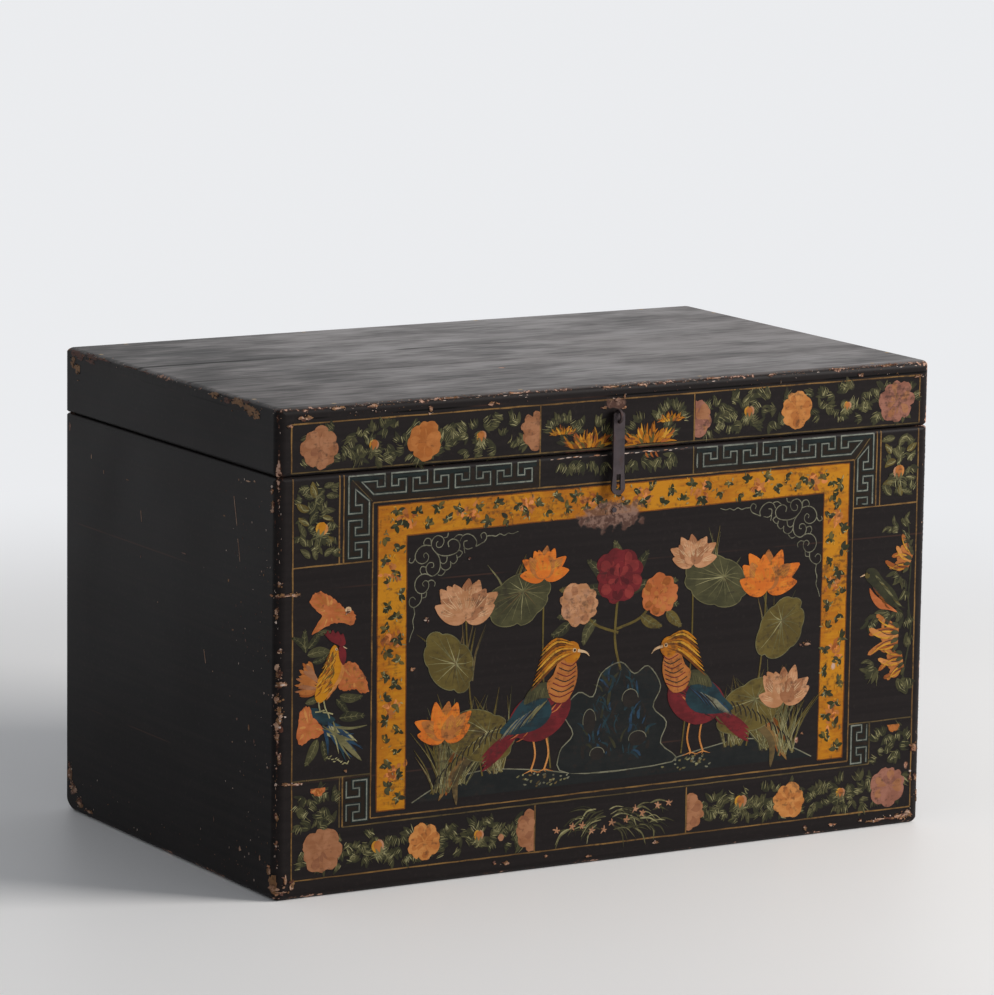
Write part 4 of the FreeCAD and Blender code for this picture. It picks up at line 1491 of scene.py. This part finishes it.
def pheasant(sheet, at):
    """A golden pheasant: crest, barred cape, red breast, blue wing and a long barred tail."""
    for k, (droop, reach, tone) in enumerate((
        (0.0, 1.0, "olive"), (5.0, 0.92, "gold"), (-5.0, 0.95, "ochre_edge"),
        (9.0, 0.75, "olive_gold"), (2.0, 0.85, "deep_orange"),
    )):
        path = at((-12, 32), (-36, 25 - droop * 0.4), (-58, 12 - droop), (-78 * reach, -8 - droop))
        sheet.stroke(path, 8.5, tone, 4 + k % 2, "petal", 5)
    for k in range(14):
        u = -18 - 4.2 * k
        v = 31 - 0.0075 * (u + 8) ** 2
        sheet.stroke(at((u + 1, v + 4), (u - 2, v), (u - 3, v - 5)), 1.3, "ink", 7, "line", 2)
    for droop in (0, 3, 6, 9):
        sheet.stroke(at((-8, 30), (-26, 22 - droop), (-40, 12 - droop)), 5.0, "crimson", 7, "petal")
    breast = ((24, 50), (26, 38), (18, 26), (4, 19), (-10, 21), (-20, 30), (-16, 42), (-2, 52), (12, 56))
    fill(sheet, at(*breast), "crimson", 7)
    for k in range(16):
        start = (22 - 2.3 * k, 46 - 1.4 * k + sway(4))
        feather = at(start, (start[0] - 4, start[1] - 4), (start[0] - 9, start[1] - 6))
        sheet.stroke(feather, 1.6, hand.choice(("salmon", "ink", "crimson")), 8, "wisp", 2)
    wing = ((-2, 52), (8, 47), (12, 37), (4, 28), (-12, 25), (-27, 27), (-19, 36), (-12, 45))
    fill(sheet, at(*wing), "teal", 9)
    for k in range(15):
        start = (10 - 1.7 * k, 46 - 0.8 * k)
        path = at(start, (start[0] - 8, start[1] - 7), (start[0] - 13, start[1] - 13))
        tone = hand.choice(("blue", "scroll_grey", "blue", "ink", "leaf_light"))
        sheet.stroke(path, 1.6, tone, 10, "wisp", 2)
    fill(sheet, at((2, 57), (12, 56), (13, 47), (2, 47), (-9, 44), (-6, 52)), "leaf_green", 10)
    for k in range(8):
        start = (10 - 2.2 * k, 55 - 0.8 * k)
        feather = at(start, (start[0] - 2, start[1] - 7))
        sheet.stroke(feather, 1.2, hand.choice(("leaf_light", "ink")), 11, "wisp", 2)
    cape = ((8, 56), (13, 62), (18, 72), (28, 71), (31, 62), (29, 52), (22, 43), (12, 45))
    fill(sheet, at(*cape), "orange", 11)
    for k in range(7):
        bar = [(9.5 + k * 1.5, 50 + k * 3.2), (18 + k * 1.3, 46.5 + k * 3.3), (28 + k * 0.4, 50 + k * 3.2)]
        sheet.stroke(at(*bar), 1.1, "ink" if k % 2 else "crimson", 12, "line", 3)
    sheet.blob(at(*lobed(26, 75, 7.2, 3, 0.06, count=24)), "ochre", 12)
    for k in range(9):
        lock = ((28, 81 - k * 0.8), (15, 85 - 2.0 * k), (4 - k, 78 - 3.2 * k))
        sheet.stroke(at(*lock), 2.6, ("ochre", "yellow", "ochre_edge")[k % 3], 12, "petal")
    sheet.stroke(at((31, 76), (37, 74.5), (40, 71.5)), 3.2, "cream", 13, "blade")
    sheet.blob(at(*round_spot(28.5, 76.5, 1.5)), "cream", 13)
    sheet.blob(at(*round_spot(28.7, 76.5, 0.9)), "ink", 14)
    for lead in (0, 10):
        sheet.stroke(at((lead - 2, 22), (lead, 10), (lead - 3, 0)), 2.0, "light_orange", 6, "line")
        for toe in (-6, 1, 7):
            sheet.stroke(at((lead - 3, 0), (lead - 3 + toe, -2)), 1.5, "light_orange", 6, "blade")


def garden_rock(sheet):
    """A pierced garden rock: dark washes inside a pale edge."""
    edge = [(-50, 100), (-62, 124), (-46, 142), (-58, 166), (-40, 186), (-22, 180), (-12, 204), (12, 214),
            (29, 200), (46, 207), (62, 184), (53, 162), (70, 144), (63, 122), (78, 100)]
    fill(sheet, edge, "rock_dark", 2)
    rim = closed_path(edge, 4)
    sheet.ribbon(rim, [1.2] * len(rim), "scroll_grey", 5)
    for _ in range(150):
        x = hand.uniform(-48, 62)
        z = hand.uniform(106, 198)
        if abs(x - 8) * (1.0 + 0.006 * (z - 100)) + 0.25 * abs(z - 140) > 52:
            continue
        tone = hand.choice(("teal", "teal", "blue", "rock_dark", "ink", "leaf_dark"))
        path = bowed(x, z, hand.uniform(0.9, 2.3), hand.uniform(9, 22), sway(0.6))
        sheet.stroke(path, hand.uniform(1.4, 4.6), tone, 3, "wisp", 3)
    for x, z, wide, tall in ((-26, 154, 8, 13), (24, 174, 10, 10), (34, 130, 11, 8), (-16, 118, 9, 7)):
        around = [k * EIGHTH_TURN for k in range(8)]
        hole = [(x + wide * math.cos(angle), z + tall * math.sin(angle)) for angle in around]
        fill(sheet, hole, "ink", 5)
        rim = closed_path(hole, 3)
        sheet.ribbon(rim[: len(rim) // 2 + 2], [0.8] * (len(rim) // 2 + 2), "scroll_grey", 6)


def grass(sheet, x, z, angle, fan, count, length, level=1):
    """A tuft of blades that fan out from one foot, each with a light line."""
    for k in range(count):
        lean = angle + fan * ((k + 0.5) / count - 0.5) + sway(0.08)
        tone = hand.choice(("olive", "olive_gold", "leaf_green", "leaf_light", "olive"))
        foot = (x + sway(10), z + sway(4))
        size = length * hand.uniform(0.6, 1.1)
        bow = sway(0.3)
        sheet.stroke(bowed(*foot, lean, size, bow), hand.uniform(2.2, 3.8), tone, level + k % 3, "blade", 4)
        gleam = bowed(foot[0] + 0.6, foot[1], lean, size * 0.9, bow)
        sheet.stroke(gleam, 0.6, hand.choice(PALE), level + 3, "blade", 3)


def pebbles(sheet, x, z):
    """Small pale dabs strewn on the ground."""
    for _ in range(34):
        spot = (x + hand.gauss(0, 17), z + sway(7))
        tone = hand.choice(("leaf_tip", "olive_gold", "scroll_grey", "leaf_light"))
        dab = bowed(*spot, sway(0.5), hand.uniform(2.6, 4.8), 0.3)
        sheet.stroke(dab, 2.0, tone, 2, "leaf", 2)


# The picture's middle, the height of its ground, and the tones of its lotus flowers.
PICTURE_MIDDLE = 8
GROUND_TOP = 108
LOTUS_TONES = {
    "orange": ("lotus_orange", "orange", "yellow"),
    "peach": ("lotus_peach", "peach", "cream"),
}


def centre_picture():
    """Two golden pheasants at a garden rock, with peonies above and lotus at both sides."""
    hand.seed(SHEET_SEED + 12)
    plants = Sheet("lotus_pond", "base")
    bank = [(-240, 88), (-205, 104), (-155, 114), (-90, 108), (-30, 98), (45, 98), (110, 109),
            (170, 116), (220, 105), (256, 88)]
    plants.blob(smooth_path(bank, 4), "rock_dark", 0)
    plants.stroke(bank, 1.2, "scroll_grey", 1, "line")
    for side, kinds in ((-1, ("peach", "orange", "orange")), (1, ("orange", "peach", "peach"))):
        def across(x):
            return PICTURE_MIDDLE + side * x
        grass(plants, across(192), 104, UP + side * 0.12, 1.25, 26, 88, 0)
        grass(plants, across(213), 97, UP, 0.95, 26, 74, 3)
        grass(plants, across(146), 112, UP - side * 0.1, 1.3, 18, 84, 0)
        grass(plants, across(186), 214, UP - side * 0.25, 1.0, 9, 70, 0)
        grass(plants, across(128), 286, UP + side * 0.3, 1.1, 7, 56, 0)
        for x, z, radius, squash, tilt in (
            (206, 232, 38, 0.70, 0.9), (122, 292, 42, 0.66, -0.35), (168, 150, 46, 0.62, 0.25),
        ):
            lotus_leaf(plants, across(x), z, radius, squash, tilt * side, 5)
        for x, z in ((186, 284), (214, 150), (92, 312)):
            foot = across(x * 0.88)
            top = across(x)
            bend = ((foot + top) / 2 + 5 * side, (GROUND_TOP + z) / 2)
            plants.stroke([(foot, GROUND_TOP), bend, (top, z)], 1.8, "olive", 4, "line")
        pebbles(plants, across(92), 97)
        for (x, z, radius), kind in zip(((186, 276, 46), (210, 152, 40), (92, 312, 34)), kinds):
            lotus(plants, across(x), z, radius, LOTUS_TONES[kind])
    birds = Sheet("pheasants_and_rock", "base")
    for x, z, angle, length in (
        (0, 286, 2.6, 40), (16, 286, 0.5, 40), (-8, 300, 2.1, 36), (24, 302, 1.0, 36),
        (8, 316, 1.6, 30), (-34, 274, 3.4, 34), (50, 276, -0.2, 34), (-30, 290, 2.8, 36),
        (46, 292, 0.3, 36), (-20, 262, 3.9, 30), (36, 262, -0.7, 30), (-52, 262, 3.9, 26),
        (68, 264, -0.8, 26),
    ):
        broad_leaf(birds, x, z, angle, length, 12.0, 1, ("leaf_green", "olive", "leaf_dark"))
    strokes(birds, [[(12, 205), (4, 240), (8, 296)], [(8, 246), (-22, 258), (-36, 278)],
                    [(6, 250), (36, 260), (52, 280)]], 2.8, "olive", 2)
    garden_rock(birds)
    for x, z, radius, tones in (
        (8, 306, 31, ("crimson", "rose", "wine")),
        (-42, 280, 24, ("lotus_peach", "pale_peach", "peach_light")),
        (58, 282, 24, ("salmon", "orange_light", "deep_orange")),
    ):
        rosette(birds, x, z, radius, tones, level=5, lobes=9)
        rosette(birds, x, z, radius * 0.55, tones, level=8, lobes=6)
    pheasant(birds, placed(-92, GROUND_TOP, 1.62, 1))
    pheasant(birds, placed(112, GROUND_TOP, 1.56, -1))
    plants.finish()
    birds.finish()


# Wear
# Heights of the marks on the two edges that meet at the seam.
LID_EDGE = 442.6
BASE_EDGE = 436.6


def flake(sheet, x, z, wide, tall, tone, level=9):
    """A knocked off flake with a ragged edge."""
    outline = []
    count = 7 if max(wide, tall) < 5.0 else 12
    for k in range(count):
        angle = 2 * math.pi * (k + sway(0.35)) / count
        size = hand.uniform(0.35, 1.0)
        outline.append((x + wide / 2 * size * math.cos(angle), z + tall / 2 * size * math.sin(angle)))
    if max(wide, tall) > 3.0:
        sheet.patch(outline, tone, level)
    else:
        sheet.blob(outline, tone, level)


CHIP_TONES = ("bare_ground", "tan", "pale_peach", "primer", "rust", "tan", "chalk")


def chipped(sheet, x, z, wide, tall, level=9):
    """A spot where the lacquer broke away in many small flakes."""
    for k in range(3):
        spot = (x + hand.gauss(0, 0.16) * wide, z + hand.gauss(0, 0.16) * tall)
        tone = ("rust", "tan", "bare_ground")[k]
        size = (wide * hand.uniform(0.5, 0.9), tall * hand.uniform(0.5, 0.9))
        flake(sheet, *spot, *size, tone, level + k)
    for _ in range(4 + round(wide * tall / 9)):
        spot = (x + hand.gauss(0, 0.27) * wide, z + hand.gauss(0, 0.27) * tall)
        size = 0.7 + 3.4 * hand.random() ** 3
        flake(sheet, *spot, size * hand.uniform(0.7, 1.8), size, hand.choice(CHIP_TONES), level + 3)


EDGE_TONES = ("bare_ground", "chalk", "chalk", "primer", "rust", "rust", "tan")


def rim_specks(sheet, start, end, count, spread, upright=False):
    """Small flakes along an edge, thick in some stretches and thin in others."""
    for k in range(count):
        along = start + (end - start) * (k + hand.random()) / count
        waves = math.sin(along * 0.023) + 0.7 * math.sin(along * 0.061 + 1.0)
        if waves < hand.uniform(-1.7, 0.7):
            continue
        across = hand.gauss(0, spread)
        long = 0.7 + 5.0 * hand.random() ** 2
        short = hand.uniform(0.35, 1.1)
        size = (short, long) if upright else (long, short)
        spot = (across, along) if upright else (along, across)
        flake(sheet, *spot, *size, hand.choice(EDGE_TONES), 2)


def lid_wear():
    """Broken lacquer along the lid's edges."""
    hand.seed(SHEET_SEED + 14)
    front = Sheet("lid_worn_marks", "lid")
    for mark in (
        (308, 500, 6, 6), (-386, 493, 9, 4), (-150, 500, 12, 4), (-222, 500, 7, 8), (386, 495, 14, 4),
        (2, 494, 14, 6), (11, 497, 4, 4), (-14, 487, 8, 3), (10, 485, 6, 2), (-370, 500, 16, 6),
    ):
        chipped(front, *mark)
    for k in range(24):
        x = -62 + 5.6 * k + sway(3)
        if abs(x) > 9:
            mark = bowed(x, LID_EDGE, 0.0, hand.uniform(5, 12), 0.05)
            front.stroke(mark, hand.uniform(0.8, 1.8), "rust", 1, "leaf", 2)
    for k in range(190):
        x = -388 + abs(hand.gauss(0, 62)) if k % 2 else sway(380)
        if math.sin(x * 0.041) < hand.uniform(-0.8, 1.2):
            continue
        size = hand.uniform(0.4, 1.2)
        tone = hand.choice(("chalk", "primer", "rust", "rust", "tan"))
        flake(front, x, 501.0 + hand.gauss(0, 2.2), size * hand.uniform(1, 3), size, tone)
    rim = Sheet("lid_front_rim_wear", "lid", on_front_rim)
    rim_specks(rim, -388, 388, 820, 1.7)
    for mark in (
        (-330, -2, 18, 4), (-290, -3, 14, 3), (-200, 0, 24, 2), (-120, 0, 18, 2), (-4, -1, 22, 4),
        (34, -1, 14, 3), (120, 0, 20, 2), (196, -1, 12, 3), (280, 0, 24, 2), (350, 0, 26, 3),
    ):
        chipped(rim, *mark)
    left = Sheet("lid_left_rim_wear", "lid", on_left_rim)
    rim_specks(left, -236, 236, 120, 2.2)
    for u, s, wide, tall, tone in (
        (108, -3, 22, 5, "tan"), (134, -4, 20, 6, "rust"), (156, -4, 28, 8, "tan"),
        (180, -6, 30, 9, "tan"), (198, -9, 20, 9, "tan"), (172, 0, 24, 4, "rust"),
        (-212, -3, 44, 8, "rust"), (-182, -2, 40, 6, "rust"), (-222, -10, 16, 8, "tan"),
        (-150, 0, 30, 3, "rust"), (-212, -16, 9, 12, "tan"), (-80, 0, 40, 2, "rust"),
    ):
        for _ in range(5):
            spot = (u + hand.gauss(0, 0.22) * wide, s + hand.gauss(0, 0.2) * tall)
            flake(left, *spot, wide * hand.uniform(0.4, 0.9), tall * hand.uniform(0.5, 0.9), tone, 3)
        for _ in range(6):
            spot = (u + hand.gauss(0, 0.3) * wide, s + hand.gauss(0, 0.3) * tall)
            wide_fleck = hand.uniform(1, 4)
            tall_fleck = hand.uniform(0.8, 2)
            flake(left, *spot, wide_fleck, tall_fleck, hand.choice(("rust", "tan", "ink")), 8)
    corner = Sheet("lid_corner_wear", "lid", on_left_corner)
    rim_specks(corner, 446, 503, 46, 2.6, True)
    for sheet in (front, rim, left, corner):
        sheet.finish()


def base_wear():
    """Flakes and scratches on the front, the corners and the left end."""
    hand.seed(SHEET_SEED + 15)
    front = Sheet("worn_marks", "base")
    keeper_ring = [ray(3, 377, k * 0.3927, 5.5) for k in range(15)]
    front.ribbon(keeper_ring, [hand.uniform(0.8, 1.8) for _ in keeper_ring], "ink", 11)
    for mark in (
        (-224, 281, 6, 6), (-241, 229, 7, 5), (246, 213, 12, 5), (-174, 340, 2, 2), (243, 115, 3, 3),
        (-318, 296, 6, 5), (-380, 319, 16, 4), (-376, 122, 20, 4), (388, 84, 8, 12), (368, 10, 34, 6),
        (381, 10, 20, 7), (385, 14, 9, 10), (340, 8, 18, 4), (-126, 12, 9, 4), (-140, 13, 2, 5),
        (-77, 13, 4, 3), (-24, 8, 9, 3), (60, 14, 7, 6), (286, 9, 12, 3), (250, 10, 7, 4),
        (322, 10, 4, 3), (386, 52, 4, 9), (-318, 130, 3, 3), (-380, 16, 5, 14), (12, 388, 6, 5),
        (-18, 384, 7, 4),
    ):
        chipped(front, *mark)
    for k in range(26):
        x = -80 + 6.6 * k + sway(3)
        if abs(x) > 10:
            tone = hand.choice(("chalk", "pale_peach", "chalk", "primer"))
            mark = bowed(x, BASE_EDGE + hand.uniform(-0.6, 0.8), 0.0, hand.uniform(3, 9), 0.04)
            front.stroke(mark, hand.uniform(0.5, 1.1), tone, 6, "leaf", 2)
    left = Sheet("left_corner_wear", "base", on_left_corner)
    rim_specks(left, 34, 432, 120, 2.4, True)
    for mark in (
        (7, 319, 16, 3.5), (0, 318, 12, 4), (2, 330, 6, 6), (-1, 299, 5, 18), (3, 262, 6, 7),
        (1, 238, 7, 14), (3, 227, 10, 10), (0, 212, 8, 16), (3, 196, 10, 14), (1, 184, 10, 14),
        (-1, 172, 6, 10), (2, 150, 5, 16), (8, 123, 14, 3), (0, 90, 4, 12), (0, 60, 4, 10),
        (-9, 31, 4, 10), (8, 20, 3, 16), (2, 9, 14, 3), (-6, 410, 4, 14), (-8, 425, 3, 8),
    ):
        chipped(left, *mark)
    for mark in (
        (-4, 18, 15, 24, "tan"), (-3, 14, 14, 14, "bare_ground"), (-6, 22, 8, 14, "tan"),
    ):
        flake(left, *mark, 13)
    right = Sheet("right_corner_wear", "base", on_right_corner)
    rim_specks(right, 34, 432, 150, 2.6, True)
    for mark in ((-6, 84, 8, 10), (-4, 52, 6, 10), (-2, 30, 10, 10)):
        chipped(right, *mark)
    end = Sheet("left_end_scratches", "base", on_left_end)
    strokes(end, [[(151, 408), (155, 392), (158, 378)], [(160, 365), (163, 352), (165, 342)],
                  [(-60, 360), (-58, 348)], [(86, 236), (90, 222)]], 0.7, "bare_ground", 1)
    for mark in (
        (-178, 400, 2, 8), (-148, 388, 2, 6), (-92, 388, 8, 2), (130, 384, 7, 2), (40, 330, 12, 1.6),
        (140, 318, 5, 4), (168, 300, 2, 4), (150, 268, 5, 2), (178, 262, 3, 4), (160, 176, 5, 4),
        (186, 172, 4, 8), (198, 160, 3, 7), (150, 150, 3, 2), (176, 120, 4, 2), (110, 60, 2, 7),
        (168, 40, 7, 8), (212, 40, 3, 7), (-60, 310, 2, 4), (-20, 268, 3, 2), (182, 428, 12, 2),
        (196, 430, 4, 4), (-230, 426, 8, 12), (-222, 22, 14, 8), (-206, 12, 18, 5), (-180, 8, 14, 4),
        (-236, 40, 6, 16),
    ):
        flake(end, *mark, hand.choice(("tan", "primer", "bare_ground")), 1)
    for _ in range(110):
        u = 232 - abs(hand.gauss(0, 60))
        z = hand.uniform(16, 430)
        flake(end, u, z, hand.uniform(0.7, 2.2), hand.uniform(0.8, 3.6), hand.choice(EDGE_TONES), 1)
    for mark in ((-230, 44, 10, 26), (-222, 26, 18, 14), (-206, 14, 24, 9), (-184, 9, 20, 5)):
        chipped(end, *mark, 1)
    for _ in range(45):
        u = sway(225)
        z = abs(hand.gauss(0, 26)) + 8
        flake(end, u, z, hand.uniform(0.8, 2.6), hand.uniform(0.8, 4.0), hand.choice(EDGE_TONES), 1)
    for sheet in (front, left, right, end):
        sheet.finish()


# Stage
CAMERA_TURN = math.radians(-30.561)
CAMERA_RISE = math.radians(9.707)
CAMERA_ROLL = math.radians(0.774)
CAMERA_AIM = Vector((0.0024, 0.0, 0.3528))
CAMERA_DISTANCE = 6.024
CAMERA_LENS = 200.6
SENSOR_WIDTH = 36.0
FLOOR_SIZE = 60.0
FADE_FROM = 0.9
FADE_TO = 2.2
FLOOR_DARK = (0.88, 0.87, 0.87)
FLOOR_LIGHT = (0.92, 0.915, 0.915)
BACKDROP = (0.83, 0.84, 0.86, 1.0)
SKY_SHOWN = (0.90, 0.91, 0.93, 1.0)
SKY_LIGHT = (0.93, 0.96, 1.0, 1.0)
SKY_STRENGTH = 0.33
WINDOW_PLACE = (3.6, -2.9, 2.5)
WINDOW_AIM = Vector((0.0, 0.0, 0.25))
WINDOW_WIDE = 2.4
WINDOW_TALL = 2.0
WINDOW_POWER = 285.0
WINDOW_TONE = (1.0, 0.975, 0.94)


def add_camera():
    """A long lens, turned, raised and rolled as the photograph was taken."""
    data = bpy.data.cameras.new("camera")
    data.lens = CAMERA_LENS
    data.sensor_width = SENSOR_WIDTH
    camera = bpy.data.objects.new("camera", data)
    bpy.context.scene.collection.objects.link(camera)
    flat = math.cos(CAMERA_RISE)
    back = Vector((math.sin(CAMERA_TURN) * flat, -math.cos(CAMERA_TURN) * flat, math.sin(CAMERA_RISE)))
    right = Vector((math.cos(CAMERA_TURN), math.sin(CAMERA_TURN), 0.0))
    up = back.cross(right)
    level = math.cos(CAMERA_ROLL)
    tip = math.sin(CAMERA_ROLL)
    axes = Matrix((right * level + up * tip, up * level - right * tip, back)).transposed()
    place = CAMERA_AIM + back * CAMERA_DISTANCE
    camera.matrix_world = Matrix.LocRotScale(place, axes.to_quaternion(), None)
    bpy.context.scene.camera = camera


def seen_rays(tree):
    """One for rays that show a surface to the eye, straight or in a gloss, and zero for light."""
    path = tree.nodes.new("ShaderNodeLightPath")
    seen = None
    for kind in ("Is Camera Ray", "Is Glossy Ray", "Is Transmission Ray"):
        node = tree.nodes.new("ShaderNodeMath")
        node.operation = "MAXIMUM"
        tree.links.new(path.outputs[kind], node.inputs[0])
        node.inputs[1].default_value = 0.0
        if seen:
            tree.links.new(seen, node.inputs[1])
        seen = node.outputs[0]
    return seen


def add_floor():
    """A pale floor that fades into a plain white backdrop away from the chest."""
    bpy.ops.object.select_all(action="DESELECT")
    bpy.ops.mesh.primitive_plane_add(size=FLOOR_SIZE)
    floor = bpy.context.object
    floor.name = "floor"
    f = Finish("pale_floor")
    mottle = f.noise(1.4, 3.0)
    f.finish(f.mix(mottle, FLOOR_DARK, FLOOR_LIGHT), 0.5, gloss=0.2)
    x, y, _ = f.axes()
    faded = f.between(f.distance(x, y), FADE_FROM, FADE_TO)
    share = f.times(faded, seen_rays(f.tree))
    glow = f.node("Emission", Color=BACKDROP)
    mix = f.node("MixShader")
    f.join(share, mix.inputs[0])
    f.join(f.shader.outputs[0], mix.inputs[1])
    f.join(glow.outputs[0], mix.inputs[2])
    f.join(mix.outputs[0], f.tree.nodes["Material Output"].inputs["Surface"])
    floor.data.materials.append(f.material)


def add_light():
    """A soft even sky, and one window at the front right."""
    world = bpy.data.worlds.new("studio")
    bpy.context.scene.world = world
    world.use_nodes = True
    nodes, links = world.node_tree.nodes, world.node_tree.links
    shown = nodes.new("ShaderNodeBackground")
    shown.inputs["Color"].default_value = SKY_SHOWN
    sky = nodes["Background"]
    sky.inputs["Color"].default_value = SKY_LIGHT
    sky.inputs["Strength"].default_value = SKY_STRENGTH
    mix = nodes.new("ShaderNodeMixShader")
    links.new(seen_rays(world.node_tree), mix.inputs[0])
    links.new(sky.outputs[0], mix.inputs[1])
    links.new(shown.outputs[0], mix.inputs[2])
    links.new(mix.outputs[0], nodes["World Output"].inputs[0])

    data = bpy.data.lights.new("window", "AREA")
    data.shape = "RECTANGLE"
    data.size = WINDOW_WIDE
    data.size_y = WINDOW_TALL
    data.energy = WINDOW_POWER
    data.color = WINDOW_TONE
    lamp = bpy.data.objects.new("window", data)
    bpy.context.scene.collection.objects.link(lamp)
    lamp.location = WINDOW_PLACE
    lamp.rotation_mode = "QUATERNION"
    lamp.rotation_quaternion = (WINDOW_AIM - lamp.location).to_track_quat("-Z", "Y")


def dress_nodes():
    """Gives every board and fitting the finish that its slot names, and the lid's boards their own."""
    for name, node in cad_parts.items():
        on_lid = name.startswith("lid_") and name.endswith("_board")
        for slot in node.material_slots:
            slot.material = FINISHES["lid_boards" if on_lid else slot.material.name.split(".")[0]]


bpy.context.scene.view_settings.view_transform = "Standard"
dress_nodes()
gold_lines()
key_border()
ochre_band()
lid_flower_border()
lid_chrysanthemums()
lower_flower_border()
corner_leaves()
reed_panel()
cloud_scrolls()
rooster_panel()
bird_panel()
centre_picture()
lid_wear()
base_wear()
add_camera()
add_floor()
add_light()
